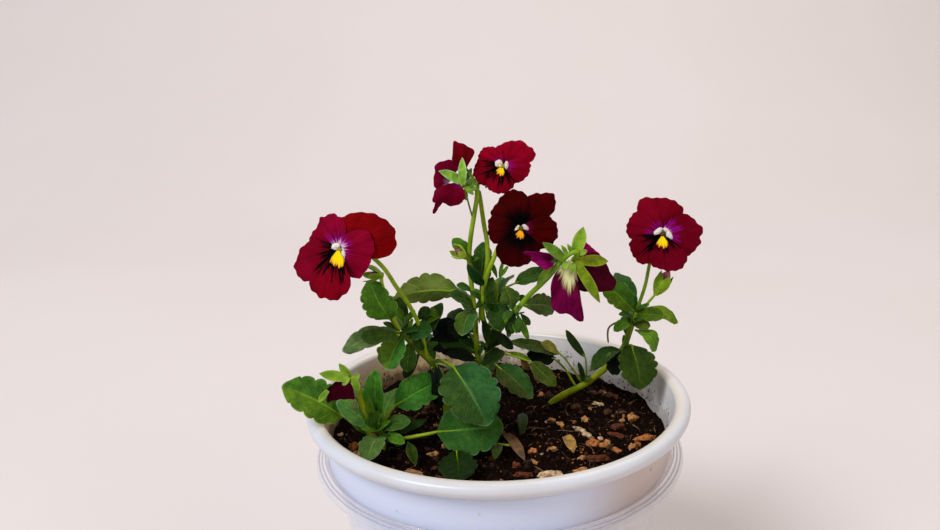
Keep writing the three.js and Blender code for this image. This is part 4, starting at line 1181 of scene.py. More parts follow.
topBloom = {
    "name": "bloom_top", "centre": (4, 4, 286), "face": (0.05, -0.98, 0.18), "eye": (1.2, 1.4),
    "throat": (2.5, 2.1),
    "stalk": [(-10, 5, 212), (-11, 4, 224), (-12, 3, 239), (-11, 2, 251), (-9, 1, 262), (-7, 2, 272),
              (-6, 6, 280), (-2, 10, 285)],
    "thick": 1.35,
    "beards": [(-1.9, 1.2, 3.9, 3.6, 1.8, 25, (1, 0.86, 0.82)),
               (1.9, 0.1, 4.2, 2.1, 1.6, 78, (1, 0.84, 0.8)),
               (-1.3, -0.1, 2.4, 1.7, 2.3, 0, (0.78, 0.78, 0.42)),
               (0.4, -0.3, 1.9, 2.2, 1.9, 0, (0.36, 0.32, 0.05))],
    "petals": [
        (-1.7, 0.12, None, (0, 0.3, 0, 0.1), (1.5, 1, 1.8), [(-6, 8), (1, 13), (7, 16), (12, 18.2),
         (18, 19.4), (25, 19), (31, 18.4), (39, 17.5), (46, 17.4), (54, 16), (62, 14.6), (76, 12.6),
         (88, 11), (99, 10), (112, 8), (124, 5)]),
        (-0.5, 0.1, None, (0.1, 0.36, 0, 0.34), (1.4, 1, 1.6), [(74, 6), (86, 9), (99, 10), (108, 10.8),
         (120, 12), (132, 12.7), (145, 12.4), (156, 12), (166, 11.4), (176, 9.5), (186, 6)]),
        (0.7, 0.1, None, (0.72, 0.3, 0, 0.1), (1.0, 1, 1), [(140, 6), (150, 9), (162, 11.8), (172, 12.4),
         (182, 13.2), (191, 14), (203, 13.7), (216, 13.4), (228, 12), (238, 9), (246, 6)]),
        (0.7, 0.1, None, (0.18, 0.42, 0, 0.38), (1.2, 1, 1.5), [(290, 6), (300, 9), (310, 11), (321, 12.6),
         (331, 13.6), (340, 14.6), (352, 15.2), (363, 15.4), (374, 13), (384, 9), (394, 6)]),
        (1.9, 0.06, 248, (0.7, 0, 0.55, 0), (1.2, 1, 1.2), [(212, 6), (222, 9), (234, 11.6), (244, 12.6),
         (256, 13.1), (268, 13.2), (276, 13.2), (286, 12.6), (297, 12.3), (308, 11), (318, 8), (326, 5)]),
    ],
}

darkBloom = {
    "name": "bloom_dark", "centre": (13, -12, 257), "face": (0, -0.97, 0.22), "eye": (0.4, 0.7),
    "throat": (1.0, 1.9), "stalk": [(-6, 5, 215), (-4, 3, 229), (0, 0, 240), (4, -1, 249), (9, -3, 256)],
    "thick": 1.25,
    "beards": [(-1.9, 0.2, 3.6, 1.7, 1.8, 55, (0.95, 0.76, 0.55)),
               (2.2, 0.5, 3.8, 2.3, 1.8, -45, (0.86, 0.74, 0.7)),
               (0.3, 0.2, 1.8, 2.8, 1.4, 0, (0.12, 0.09, 0.02))],
    "petals": [
        (-1.7, 0.12, None, (0.62, 0, 0, 0), (1.15, 1.0, 1.0), [(6, 7), (16, 12), (24, 16), (27, 19),
         (31, 20.8), (36, 22.2), (41, 24.1), (46, 24.6), (52, 23.2), (60, 21), (67, 19.6), (75, 17.5),
         (84, 14), (92, 10), (100, 6)]),
        (-0.5, 0.1, None, (0.74, 0.16, 0, 0), plain, [(60, 8), (68, 13), (76, 17.4), (84, 19.2), (93, 20.4),
         (103, 20.5), (113, 19.7), (124, 18.1), (136, 17.5), (146, 16.8), (156, 14), (166, 10), (176, 6)]),
        (0.7, 0.1, None, (0.62, 0.1, 0, 0), plain, [(130, 7), (140, 12), (149, 15.6), (160, 16.2),
         (172, 15.7), (186, 15.6), (198, 14.8), (208, 12.8), (218, 9), (228, 5)]),
        (0.7, 0.1, None, (0.3, 0.36, 0, 0.2), plain, [(298, 6), (310, 11), (320, 14.4), (330, 16.2),
         (340, 17.7), (350, 18.6), (360, 18.6), (369, 18.2), (378, 17), (386, 15.6), (396, 11), (406, 6)]),
        (1.9, 0.06, 258, (0.8, 0, 0.54, 0), (0.75, 1, 0.8), [(188, 5), (198, 9), (208, 12.8), (219, 15.6),
         (231, 17.2), (243, 18), (255, 18), (267, 17.2), (279, 16.8), (290, 15.4), (304, 14.4), (316, 13.2),
         (326, 10), (336, 5)]),
    ],
}

rightBloom = {
    "name": "bloom_right", "centre": (87, 3, 247), "face": (-0.1, -0.97, 0.2), "eye": (-0.4, 1.2),
    "throat": (0.4, 2.9),
    "stalk": [(76, 12, 204), (81, 12, 220), (83, 12, 231), (85, 12, 240), (87, 10, 246)], "thick": 0.95,
    "green": (0.5, 0.55, 0.6),
    "beards": [(-2.2, 1.8, 5.2, 2.7, 1.9, 35, (0.97, 0.94, 0.86)),
               (3.4, -0.3, 5.2, 2.9, 1.9, -62, (0.94, 0.94, 0.9)),
               (1.8, 2.4, 3.2, 2.0, 1.5, -30, (1, 0.84, 0.84)),
               (0.5, 0.4, 2.9, 2.0, 1.6, 20, (0.13, 0.055, 0.012))],
    "petals": [
        (-1.7, 0.12, None, (0, 0.46, 0, 0.42), (0.92, 0.9, 1.1), [(38, 7), (44, 13), (50, 18), (56, 19.1),
         (64, 19.5), (72, 20.5), (82, 20.5), (92, 20.7), (104, 21.5), (115, 22.9), (121, 22), (128, 19.4),
         (138, 13), (147, 7)]),
        (-0.5, 0.1, None, (0.1, 0.54, 0, 0.48), (1.0, 1, 1.5), [(112, 8), (120, 14), (127, 18.4),
         (135, 18.6), (144, 19), (154, 18.5), (164, 18.4), (172, 17.2), (182, 15), (190, 10), (198, 6)]),
        # the three lower petals are tinted darker as painted shade
        (0.7, 0.1, None, (0.84, 0.1, 0, 0), (0.72, 0.8, 0.9), [(160, 6), (171, 11), (182, 14.8),
         (192, 16.4), (203, 16.6), (214, 16.7), (225, 17), (236, 16.2), (246, 14), (255, 10), (264, 6)]),
        (0.7, 0.1, None, (0.3, 0.64, 0, 0.58), (0.72, 0.8, 1.0), [(302, 7), (313, 12), (324, 16),
         (334, 17.6), (344, 19), (354, 20), (361, 19.6), (367, 21.3), (373, 21.2), (380, 20), (390, 18.9),
         (402, 17.6), (411, 16), (422, 11), (432, 6)]),
        (1.9, 0.06, 268, (0.68, 0.2, 0.72, 0), (0.72, 0.8, 1.0), [(230, 6), (239, 10.5), (248, 14.2),
         (258, 15.2), (269, 16), (281, 17.3), (294, 18.5), (306, 18.6), (316, 17.6), (326, 15.6), (336, 11),
         (345, 6)]),
    ],
}

pearly = (1.6, 1.8, 3.6)
dull = (0.6, 0.65, 0.7)

sideBloom = {
    "name": "bloom_side", "centre": (-18, 1, 280), "face": (-0.93, -0.32, 0.16),
    "stalk": [(-9, 1, 261), (-10.8, 2, 268), (-12.4, 3, 275)], "thick": 0.5, "green": (0.5, 0.55, 0.6),
    "calyx": [((-14, -1, 280), (-13.4, -6, 294), 4.6, pearly),
              ((-14, 0, 281), (-25, -11, 288.5), 5.6, pearly), ((-12, 3, 281), (-9, 9, 287), 2.6, dull),
              ((-13, 3, 277), (-12.5, 5, 271), 3.0, dull), ((-15, 1, 278), (-14.5, -4, 271.5), 3.4),
              ((-12, 0, 279), (-6, -1, 281), 3.0, dull), ((-12, 0, 278), (-6.5, -2, 277.5), 3.0, dull),
              ((-12, 0, 280), (-8, 1, 283), 2.4, dull), ((-6, 2, 278.5), (-13, 5, 289), 1.6, dull),
              ((-13, 0, 279), (-8.5, -3, 275), 3.0)],
    "drawn": [
        ((-14, 284), 3, 0.12, (0.2, 0.1, 0, 0), (0.72, 1, 0.5), [(-17, 288), (-18.6, 292), (-18, 296.5),
         (-17.4, 301), (-15, 300.4), (-12, 299.2), (-9.5, 297.6), (-7.3, 295.9), (-8.4, 293.2),
         (-9.8, 291.8), (-11.6, 291.2), (-12.5, 288)]),
        ((-20.5, 281), 0, 0.22, (0, 0.25, 0, 0.42), (0.85, 1, 2.2), [(-15.5, 288), (-17, 291.5),
         (-20, 292.4), (-22.5, 292), (-25, 291.3), (-27.2, 289.8), (-27.2, 287), (-28, 284), (-28.2, 281),
         (-27.4, 278.6), (-24.5, 277.5), (-21, 277.5)]),
        ((-16, 281.5), -3, 0.15, (0, 0.25, 0, 0), (0.75, 1, 1.6), [(-21, 281), (-25, 279.6), (-27.2, 278.4),
         (-28.2, 276), (-29, 273.2), (-28, 271.8), (-25, 272.3), (-23, 271.2), (-20, 269.8), (-17, 270.3),
         (-14.6, 271.4), (-12.8, 274.4), (-13.2, 277.5)]),
        ((-25.2, 274), -1, 0.1, (0, 0, 0, 0), (0.7, 1, 1.6), [(-27.6, 273), (-28.2, 270), (-29.4, 267),
         (-28.8, 265.8), (-27.6, 266.8), (-26.2, 269), (-24, 271.5)]),
    ],
}

backBloom = {
    "name": "bloom_back", "centre": (39, -9, 239), "face": (-0.28, 0.6, -0.75),
    "stalk": [(9, 0, 209), (13, -3, 216), (18, -6, 223), (26, -10, 232), (32, -13, 240), (37, -16, 246),
              (41, -16, 247)],
    "thick": 1.45, "green": (0.6, 0.75, 0.8),
    "calyx": [((40, -15, 246), (44.3, -14, 259), 7.0),
              ((35, -15, 243), (24, -16, 252.5), 5.6, (0.75, 0.85, 1)),
              ((42, -14, 242), (57, -11, 240.5), 6.4, (0.8, 0.62, 0.2)),
              ((40, -14, 242), (52, -17, 221), 6.0, (0.85, 0.75, 0.3)),
              ((33, -12, 243), (21.5, -9, 229.5), 5.0), ((36, -16, 246), (33, -17, 251), 2.4),
              ((38, -16, 247), (36, -17, 251.5), 2.2), ((42, -16, 246), (45.5, -18, 248), 3.0),
              ((36, -15, 242), (33.5, -17, 238.5), 3.4), ((39, -15, 241), (38, -17, 236.5), 3.4)],
    "drawn": [
        ((32, 241.5), -9, 0.5, (0, 0, 0, 0.42), (1.5, 1, 1.7), [(29.5, 244.5), (26, 245.6), (22.5, 246.2),
         (18.5, 246.4), (15.2, 246.2), (17, 243.8), (19.5, 241.6), (23, 239), (26, 237), (28, 237.6),
         (30.3, 239)]),
        ((42, 242.5), -5, -0.1, (0, 0, 0, 0), (1.5, 1, 1.2), [(44.3, 249), (45.4, 250.6), (48, 248.3),
         (51, 245.4), (54, 242.2), (50, 240), (46, 239.5)]),
        ((42, 240.5), -6, -0.06, (0.3, 0.1, 0, 0), (0.45, 0.8, 0.25), [(46, 243.5), (50.5, 244.5),
         (54, 242.3), (56.8, 238.5), (58.8, 234), (61.2, 230.2), (62.4, 227.4), (60.4, 224.2), (56, 223.4),
         (51, 223.8), (47, 223.9), (43, 224.8), (41.2, 229)]),
        ((38, 242), -9, 0.1, (0, 0, 2.0, 0), (1.15, 1, 1.0), [(33.2, 237.5), (30.4, 234), (29, 230),
         (28.6, 224), (29, 218), (30.4, 215.2), (33, 213.6), (36, 214), (39, 212), (41.5, 210.2),
         (45, 209.6), (44.7, 214), (43.9, 219), (43, 225), (42, 231), (41.5, 236)]),
    ],
}

noddingBloom = {
    "name": "bloom_nodding", "centre": (-76, -39, 190), "face": (-0.75, -0.35, -0.55),
    "stalk": [(-60, -23, 160), (-64, -25, 165), (-67.3, -29, 176), (-67.9, -34, 186), (-67.8, -37, 192),
              (-69.6, -38, 194.6)],
    "thick": 1.45, "green": (1.2, 1.05, 0.9),
    "calyx": [((-71.5, -40, 195.6), (-84.6, -41.5, 199), 5.6),
              ((-70, -38.5, 194.5), (-76, -36, 201.5), 4.0), ((-81, -42, 190.5), (-86, -43, 185), 3.2),
              ((-69, -40, 195.5), (-66.8, -40, 188.5), 4.0),
              ((-69.5, -38, 193.5), (-66.2, -37, 196.5), 3.2), ((-71, -40, 196), (-74, -42, 192.5), 3.0)],
    "drawn": [
        ((-74.5, 194), -39, 0.08, (0, 0, 0, 0), (0.7, 1, 6), [(-73.5, 195.8), (-76, 194.8), (-79.2, 192.2),
         (-82.6, 189.4), (-82.3, 186.5), (-82.5, 183), (-79.7, 184.4), (-77, 187)]),
        ((-73.5, 194.6), -40.5, 0.12, (0, 0, 0, 0), (0.85, 1, 8), [(-76.2, 194.6), (-79.3, 191.5),
         (-79.8, 188), (-80.2, 184.6), (-77.4, 185), (-74.2, 185.1), (-71.4, 185), (-69, 185.3),
         (-69.2, 188), (-69.6, 191.2), (-71.4, 194.2)]),
    ],
}

centreBud = {
    "name": "bud_centre", "centre": (-17.5, -2, 246), "face": (-0.65, -0.5, 0.6),
    "stalk": [(-11, 4, 236), (-12, 3, 240)], "length": 5.5, "radius": 1.9, "reach": 8, "width": 3.0,
    "lean": 16, "sepals": (1.8, 1.6, 1.8),
}
rightBud = {
    "name": "bud_right", "centre": (89.5, 12, 220.5), "face": (0.42, -0.1, 0.88),
    "stalk": [(77, 12, 204), (82, 12, 210)], "thick": 0.8, "length": 12.6, "radius": 3.5, "reach": 12,
    "width": 5.4, "lean": 11, "sepals": (1.1, 1.1, 0.5),
}
leftBud = {
    "name": "bud_left", "centre": (-60, -16, 240), "face": (-0.85, -0.4, 0.3),
    "stalk": [(-48.5, -8, 207.5), (-50.6, -9, 212), (-53.2, -11, 223), (-55.6, -13, 233)],
    "green": (1.3, 1.15, 1.0), "length": 6, "radius": 2.2, "reach": 9,
    "width": 3.4, "lean": 20, "sepals": (1, 1, 1),
}

crimson = {
    "name": "crimson_velvet", "main": (0.165, 0.0005, 0.0065), "rich": (0.225, 0.0008, 0.0125),
    "shade": (0.075, 0.0003, 0.0025), "ray": (0.0012, 0.0003, 0.0007), "violet": (0.23, 0.003, 0.17),
    "white": (0.80, 0.52, 0.78), "yellow": (0.86, 0.62, 0.004), "deepYellow": (0.78, 0.30, 0.02),
    "jag": 0.50, "raySoft": 5.0,
}
# a darker copy of the crimson for the two blooms that lie in shade: painted shade
shadedCrimson = {
    **crimson, "name": "maroon_velvet", "main": (0.036, 0.0003, 0.0005), "rich": (0.060, 0.0004, 0.0010),
    "shade": (0.012, 0.0002, 0.0003), "violet": (0.11, 0.001, 0.035), "yellow": (0.80, 0.36, 0.01),
    "deepYellow": (0.62, 0.20, 0.01), "jag": 0.85, "raySoft": 8.0,
}
magenta = {
    **crimson, "name": "magenta_silk", "main": (0.095, 0.0008, 0.026), "rich": (0.185, 0.003, 0.070),
    "shade": (0.030, 0.0005, 0.008), "violet": (0.20, 0.006, 0.12), "white": (0.78, 0.62, 0.62),
    "yellow": (0.70, 0.68, 0.34), "deepYellow": (0.40, 0.36, 0.16), "wedge": 1.9,
}


def petalMaterial(look, rear=False):
    material, shader, where = newMaterial(look["name"] + ("_rear" if rear else ""), 0.6, 0.015)
    # millimetres off the petal's own line, and millimetres out from the throat
    span = petalLook["span"]
    x, y = [place * span - span / 2 for place in patternPlace(shader)]
    reach = calc("SQRT", x * x + y * y)
    turn = calc("ARCTAN2", x, y)

    def streaks(count, detail, roughness):
        # a noise drawn out along the petal, with more or fewer streaks round the throat
        return mottle(formula("CombineXYZ", {0: turn * count, 1: reach * 0.05}), 1.0, detail, roughness)

    rays, veins, folds = streaks(6.5, 3, 0.7), streaks(26.0, 3, 0.6), streaks(2.2, 2, 0.5)
    tone = layered(
        mixColour(fade(mottle(where, 85, 3), 0.35, 0.7), look["main"], look["rich"]),
        (fade(folds, 0.52, 0.34, 0, 0.55), look["shade"]), (fade(veins, 0.56, 0.36, 0, 0.45), look["shade"]))
    tone = tinted(tone, pointColour(shader, "tint"))
    if rear:
        tone = mixColour(fade(veins, 0.45, 0.7, 0.05, 0.30), tone, look["violet"])
    else:
        black, violet, yellow = parted(pointColour(shader, "marks"), "SeparateColor")
        white = pointColour(shader, "marks", "Alpha")
        jag = fade(rays, 0.36, 0.64, look["jag"], 1.0)

        def band(mark, unitReach, soft):
            # how far a point lies inside the jagged reach of one mark
            return fade(mark * unitReach * jag - reach, 0.0, soft)

        most = yellow * 10.0
        if "wedge" in look:
            # a pale wedge that narrows down the petal
            depth = most * fade(veins, 0.3, 0.7, 0.8, 1.15) - (abs(x) * look["wedge"] + y)
            share = fade(depth, 0.0, 4.5) * fade(most, 0.0, 1.0)
            gold = mixColour(fade(depth, 1.0, 8.0), look["deepYellow"], look["yellow"])
        else:
            # a fan with a jagged front, deep yellow along its edge
            side = abs(turn)
            depth = most * (fade(rays, 0.36, 0.64, 0.82, 1.05) - side * side * 0.55) - reach
            share = fade(depth, 0.0, 0.5) * fade(side + rays * 0.35, 0.85, 0.72)
            gold = mixColour(fade(depth, 0.2, 2.0), look["deepYellow"], look["yellow"])
        tone = layered(
            tone, (band(violet, 20.0, 4.0) * 0.85, look["violet"]),
            (band(black, 20.0, look["raySoft"]), look["ray"]), (band(white, 10.0, 3.0), look["white"]),
            (share, gold))
    finishMaterial(shader, tone, veins * 0.8 + mottle(where, 2500, 2), 0.35, 0.0005)
    return material


def beardMaterial(look):
    material, shader, where = newMaterial("pale_beard", 0.7, 0.1)
    fine = mottle(where, 1500, 3)
    tone = mixColour(fade(fine, 0.4, 0.7), look["shade"], look["light"])
    finishMaterial(shader, tinted(tone, pointColour(shader, "tint")), fine, 0.5, 0.0005)
    return material


def patternOf(x, y, middle):
    # the place on the petal's pattern: off its own line, and out along it
    off = x * math.sin(middle) - y * math.cos(middle)
    out = x * math.cos(middle) + y * math.sin(middle)
    return np.stack([off, out], axis=1) / petalLook["span"] + 0.5


def marginOf(edge):
    # a smooth margin, and how far along it each of its points lies
    margin = smoothRoute(edge, 400)
    walked = np.concatenate([[0], np.cumsum(np.linalg.norm(np.diff(margin, axis=0), axis=1))])
    return margin, walked / walked[-1]


def openPetal(bloom, petal, random):
    # the margin runs round the eye, and the petal is drawn between its claw in the throat and that margin
    layer, curl, axis, marks, tint, outline = petal
    if axis is None:
        axis = (outline[0][0] + outline[-1][0]) / 2
    turn, far = np.array(outline[::-1], float).T
    turn = np.radians(turn)
    throat = np.array(bloom["throat"])
    edge = np.stack([far * np.cos(turn), far * np.sin(turn), 0 * turn], axis=1)
    edge[:, :2] += np.array(bloom["eye"]) - throat
    margin, walked = marginOf(edge)
    long = np.linalg.norm(edge, axis=1).max()
    ruffle, phase, second = petalLook["ruffle"] * long, random.uniform(0, 6.28), random.uniform(0, 6.28)

    def shape(side, station):
        share = (side + 1) / 2
        x, y = np.interp(share, walked, margin[:, 0]), np.interp(share, walked, margin[:, 1])
        full = np.hypot(x, y)
        nick = 1 + 0.014 * np.sin(71 * share + phase) + 0.010 * np.sin(41 * share + second)
        out = 0.5 + station ** 0.9 * (full * nick - 0.5)
        x, y = x / full * out, y / full * out
        part = out / long
        height = layer - curl * out + 0.08 * long * np.sin(np.pi * np.minimum(part, 1))
        height = height - petalLook["pit"] * np.exp(-out / 1.3)
        height = height + ruffle * part ** 3 * np.sin(2 * np.pi * 2.3 * share + phase)
        height = height + 0.45 * ruffle * part ** 4 * np.sin(2 * np.pi * 6.1 * share + second)
        height = height - 0.04 * long * part ** 2 * np.cos(2 * np.pi * share)
        return onPetal(bloom, x + throat[0], y + throat[1], height), patternOf(x, y, math.radians(axis))

    return formedSheet(48, 20, shape, tint, marks)


def drawnPetal(petal, random):
    # a petal seen from its side or back: its claw, its margin, and a bulge toward the viewer between them
    (clawX, clawZ), depth, lift, marks, tint, outline = petal
    claw = np.array((clawX, 0, clawZ), float)
    margin, walked = marginOf(np.array([(x, 0, z) for x, z in outline], float) - claw)
    middle = math.atan2(margin[200, 2], margin[200, 0])
    long = np.linalg.norm(margin, axis=1).max()
    start = claw + (0, depth, 0)
    sight = unit(viewer - start)
    phase, second = random.uniform(0, 6.28), random.uniform(0, 6.28)

    def shape(side, station):
        share = (side + 1) / 2
        x, z = np.interp(share, walked, margin[:, 0]), np.interp(share, walked, margin[:, 2])
        nick = 1 + 0.012 * np.sin(47 * share + phase)
        out = 0.04 + 0.96 * station * nick
        height = long * (lift * out + 0.14 * np.sin(np.pi * out) * np.sin(np.pi * share) ** 0.7)
        height = height + 0.055 * long * out ** 1.5 * np.sin(2 * np.pi * 1.8 * share + phase)
        height = height + 0.022 * long * out ** 3 * np.sin(2 * np.pi * 5.2 * share + second)
        flat = np.stack([x * out, 0 * x, z * out], axis=1)
        return start + flat + height[:, None] * sight, patternOf(x * out, z * out, middle)

    return formedSheet(40, 18, shape, tint, marks)


def eyeParts(bloom):
    # pale beards either side of the throat, and the green knob in it
    parts = []
    knob = lump(3, 3, 0.10)
    points = pointsOf(knob.data)
    for x, y, long, wide, tall, turn, colour in bloom["beards"]:
        mesh = knob.data.copy()
        along, across = points[:, 0] * long / 2, points[:, 1] * wide / 2
        spin = math.radians(turn)
        x = bloom["throat"][0] + x + along * math.cos(spin) - across * math.sin(spin)
        y = bloom["throat"][1] + y + along * math.sin(spin) + across * math.cos(spin)
        place = onPetal(bloom, x, y, beardLook["lift"] + points[:, 2] * tall / 2)
        mesh.vertices.foreach_set("co", (place * mm).ravel())
        paintPoints(mesh, "tint", colour)
        parts.append(newPiece("beard", mesh))
    bpy.data.objects.remove(knob)
    return parts


def bloomPiece(bloom, look, seed, slot):
    random = randomFrom(seed)
    if "petals" in bloom:
        parts = [openPetal(bloom, petal, random) for petal in bloom["petals"]]
    else:
        parts = [drawnPetal(petal, random) for petal in bloom["drawn"]]
    paints = [petalMaterial(look), petalMaterial(look, "petals" in bloom)]
    finishedPiece("petals_" + bloom["name"], parts, paints, slot, bloom["name"],
                  thickness=petalLook["thickness"], angle=75)
    if "beards" in bloom:
        finishedPiece("eye_" + bloom["name"], eyeParts(bloom), [beardMaterial(beardLook)], slot, angle=60)


# Calyces and buds

throatBack = 3.3   # how far behind the eye the calyx begins
calyxDepth, calyxRadius = 2.4, 1.9
calyxFront = -throatBack - 0.3
sepalLevel = calyxFront - calyxDepth / 2
sepalLook = {
    "thickness": 0.3,
    "colour": (0.10, 0.20, 0.008),
    "light": (0.22, 0.36, 0.020),
    "line": (0.24, 0.36, 0.06),
    "margin": (0.36, 0.46, 0.16),
    "tip": (0.28, 0.14, 0.06),
}
budLook = {"colour": (0.20, 0.03, 0.05), "light": (0.42, 0.11, 0.13)}


def sepalMaterial(look):
    material, shader, where = newMaterial("green_sepal", 0.5, 0.1)
    across, along = patternPlace(shader)
    side = fromMiddle(across)
    lines = calc("PINGPONG", side * 3.4, 0.5)
    tone = layered(
        mixColour(fade(mottle(where, 240, 3), 0.35, 0.7), look["colour"], look["light"]),
        (fade(lines, 0.12, 0.0, 0, 0.35), look["line"]), (fade(side, 0.75, 1.0, 0, 0.5), look["margin"]),
        (fade(along, 0.9, 1.0, 0, 0.6), look["tip"]))
    finishMaterial(shader, tinted(tone, pointColour(shader, "tint")), lines, 0.3, 0.0003)
    return material


def sepalBlade(root, tip, face, width, random, bend=0.06, tint=plain):
    blade = bladeFrame(root, tip, face)
    length = blade[1]

    def shape(side, station):
        lance = (0.5 + 0.95 * station) * (1 - station ** 2.4) * 1.15
        half = width / 2 * np.maximum(lance, 0.02)
        rise = bend * length * np.sin(np.pi * station) + 0.22 * half * side ** 2
        return bladePlace(blade, length * station, half * side, rise, side, station)

    return formedSheet(6, 14, shape, np.array(tint) * random.uniform(0.9, 1.15))


def calyxParts(bloom, random):
    seatPoints = [toWorld(bloom, 0, 0, calyxFront + z) for z in (0.2, -0.8, -1.7, -2.6)]
    seat = formedTube(seatPoints, calyxRadius, calyxRadius * 0.8, 10, 10)
    sepals = []
    root = 0.72 * calyxRadius

    def place(angle, reach, height):
        turn = math.radians(angle)
        return toWorld(bloom, reach * math.cos(turn), reach * math.sin(turn), height)

    if "calyx" in bloom:
        for start, tip, width, *tint in bloom["calyx"]:
            sepals.append(sepalBlade(start, tip, front, width, random, tint=(*tint, plain)[0]))
    elif "reach" in bloom:
        lean = math.radians(bloom["lean"])
        for angle in (60, 132, 204, 276, 348):
            start = place(angle, root, sepalLevel)
            tip = place(angle, root + bloom["reach"] * math.sin(lean),
                        sepalLevel + bloom["reach"] * math.cos(lean))
            inward = place(angle, 0, 0) - place(angle, 3, 0)
            sepals.append(sepalBlade(start, tip, inward, bloom["width"] * 1.2, random, -0.10,
                                     bloom["sepals"]))
    else:
        for angle in (90, 162, 234, 306, 378):
            start = place(angle, root, sepalLevel)
            tip = place(angle, 10.6, sepalLevel + random.uniform(-0.4, 0.6))
            sepals.append(sepalBlade(start, tip, bloom["face"], 4.4, random))
            stub = place(angle, root + 1.6, sepalLevel - 3.0)
            sepals.append(sepalBlade(start, stub, bloom["face"], 2.6, random))
    return seat, sepals


def pedicel(bloom, random):
    end = toWorld(bloom, 0, 0, calyxFront - 0.6 * calyxDepth)
    points = [*bloom["stalk"], tuple(end)]
    thick = bloom.get("thick", 1.15)
    tint = np.array(bloom.get("green", plain)) * random.uniform(0.95, 1.05)
    return formedTube(points, thick, 0.85 * thick, 8, 6 * (len(points) - 1), 0.05, tint)


def budMaterial(look):
    material, shader, where = newMaterial("rolled_bud", 0.55)
    cloud = mottle(where, 400, 3)
    tone = mixColour(fade(cloud, 0.35, 0.7), look["colour"], look["light"])
    finishMaterial(shader, tone, cloud, 0.3, 0.0004)
    return material


def budShape(bud, sink):
    # petals rolled in a pointed twist
    def shape(side, station):
        turn = -np.pi * side
        swell = bud["radius"] * np.sin(np.pi * np.clip(station, 0, 1)) ** 0.7 * (1 - 0.25 * station)
        swell = swell * (1 + 0.10 * np.cos(3 * turn + 5 * station))
        height = bud["length"] * station - throatBack - sink
        return toWorld(bud, swell * np.cos(turn), swell * np.sin(turn), height)

    return formedSheet(16, 14, shape)


# The four leafy stems

leafPaints = [leafMaterial("leaf_top", leafLook), leafMaterial("leaf_underside", leafLook, True)]
stalkPaint = stalkMaterial(stalkLook)
sepalPaint = sepalMaterial(sepalLook)
budPaint = budMaterial(budLook)


def stipules(spot, random, size):
    # narrow lobed leaflets that stand round the joint of a leaf
    parts = []
    spot = np.array(spot, float)
    for _ in range(3):
        turn = random.uniform(0, 6.28)
        aim = np.array((math.cos(turn), math.sin(turn), random.uniform(0.2, 1.3)))
        length = size * random.uniform(0.7, 1.3)
        tint = np.array((1.05, 1.15, 0.9)) * random.uniform(0.8, 1.25)
        leaf = leafOf(spot, spot + unit(aim) * length, 0.3 * length, (0.2, -0.7, 0.7), tint, {"arch": 0.12})
        parts.append(leafBlade(leaf, random, leafLook))
    return parts


def leafyStem(name, routes, leaves, blooms, seed, joints):
    # a route is its thickness, its tint and the points of its line; small leaves stand round each joint
    random = randomFrom(seed)
    leaves = [leafOf(*row) for row in leaves]
    blades = [leafBlade(leaf, random, leafLook) for leaf in leaves]
    for spot in joints:
        blades.extend(stipules(spot, random, leafLook["stipule"]))
    finishedPiece("leaves_" + name, blades, leafPaints, "leaf", "stem_" + name,
                  thickness=leafLook["thickness"], angle=70)

    foot = [(*stemFeet[name], height) for height in (138, 142, 147)]
    tubes = [formedTube(foot, 1.9, 1.7, 10, 8)]
    for thick, tint, line in routes:
        tubes.append(formedTube(line, thick, 0.86 * thick, 10, 7 * (len(line) - 1), 0.06, tint))
    tubes.extend(petiole(leaf, random) for leaf in leaves if leaf["width"] >= 5 or "stalk" in leaf)
    tubes.extend(pedicel(bloom, random) for bloom in blooms)
    calyces = [calyxParts(bloom, random) for bloom in blooms]
    tubes.extend(seat for seat, _ in calyces)
    finishedPiece("stalks_" + name, tubes, [stalkPaint], "leaf", seams=True, angle=70)
    sepals = [blade for _, group in calyces for blade in group]
    finishedPiece("sepals_" + name, sepals, [sepalPaint], "leaf", thickness=sepalLook["thickness"], angle=70)


leafyStem("left", [
    (2.0, (0.62, 0.62, 0.6), [(-27, 5, 145), (-28, 3, 172), (-33, -2, 186), (-39, -4, 194),
                              (-48.5, -8, 207)]),
], leftLeaves, [leftBloom, leftBud], 5, [(-33, -2, 186), (-39, -4, 194), (-48, -8, 206), (-46, -7, 204)])
leafyStem("front_left", [
    (1.7, (1.0, 1.0, 0.9), [(-60, -20, 145), (-60, -21, 155), (-60, -23, 161)]),
], frontLeftLeaves, [noddingBloom], 6, [(-60, -22, 158), (-60, -23, 160), (-61, -24, 161), (-60, -22, 155)])
leafyStem("centre", [
    (1.75, (0.75, 0.7, 0.6), [(-8, 14, 145), (-9, 13, 160), (-9, 9, 180), (-10, 6, 198), (-10, 5, 213)]),
    (1.5, (1.1, 1.1, 0.9), [(-8, 14, 145), (-6, 14, 166), (-4, 12, 188), (-2, 10, 202), (1, 9, 214),
                            (1.5, 8, 228)]),
    (1.5, (0.7, 0.75, 0.7), [(-4, 12, 186), (1, 8, 197), (6, 3, 206), (10, -1, 212)]),
    (1.5, (0.8, 0.85, 0.8), [(-3, 11, 196), (-6, 8, 208), (-6, 6, 218)]),
    (1.3, (1.05, 1.0, 1.0), [(-6, 5, 217.5), (-4.5, 5, 227), (-2.5, 5, 239), (-2.5, 5.5, 249.5),
                             (-3.8, 6, 258.5), (-5.1, 6, 270.5), (-6, 7, 276)]),
], centreLeaves, [topBloom, darkBloom, sideBloom, backBloom, centreBud], 7, [
    (-10, 5, 213), (-10, 6, 199), (-9, 8, 186), (1, 9, 214), (-4, 12, 187), (10, -1, 212), (-2, 10, 203),
    (-11, 4, 238), (-6, 6, 216)])
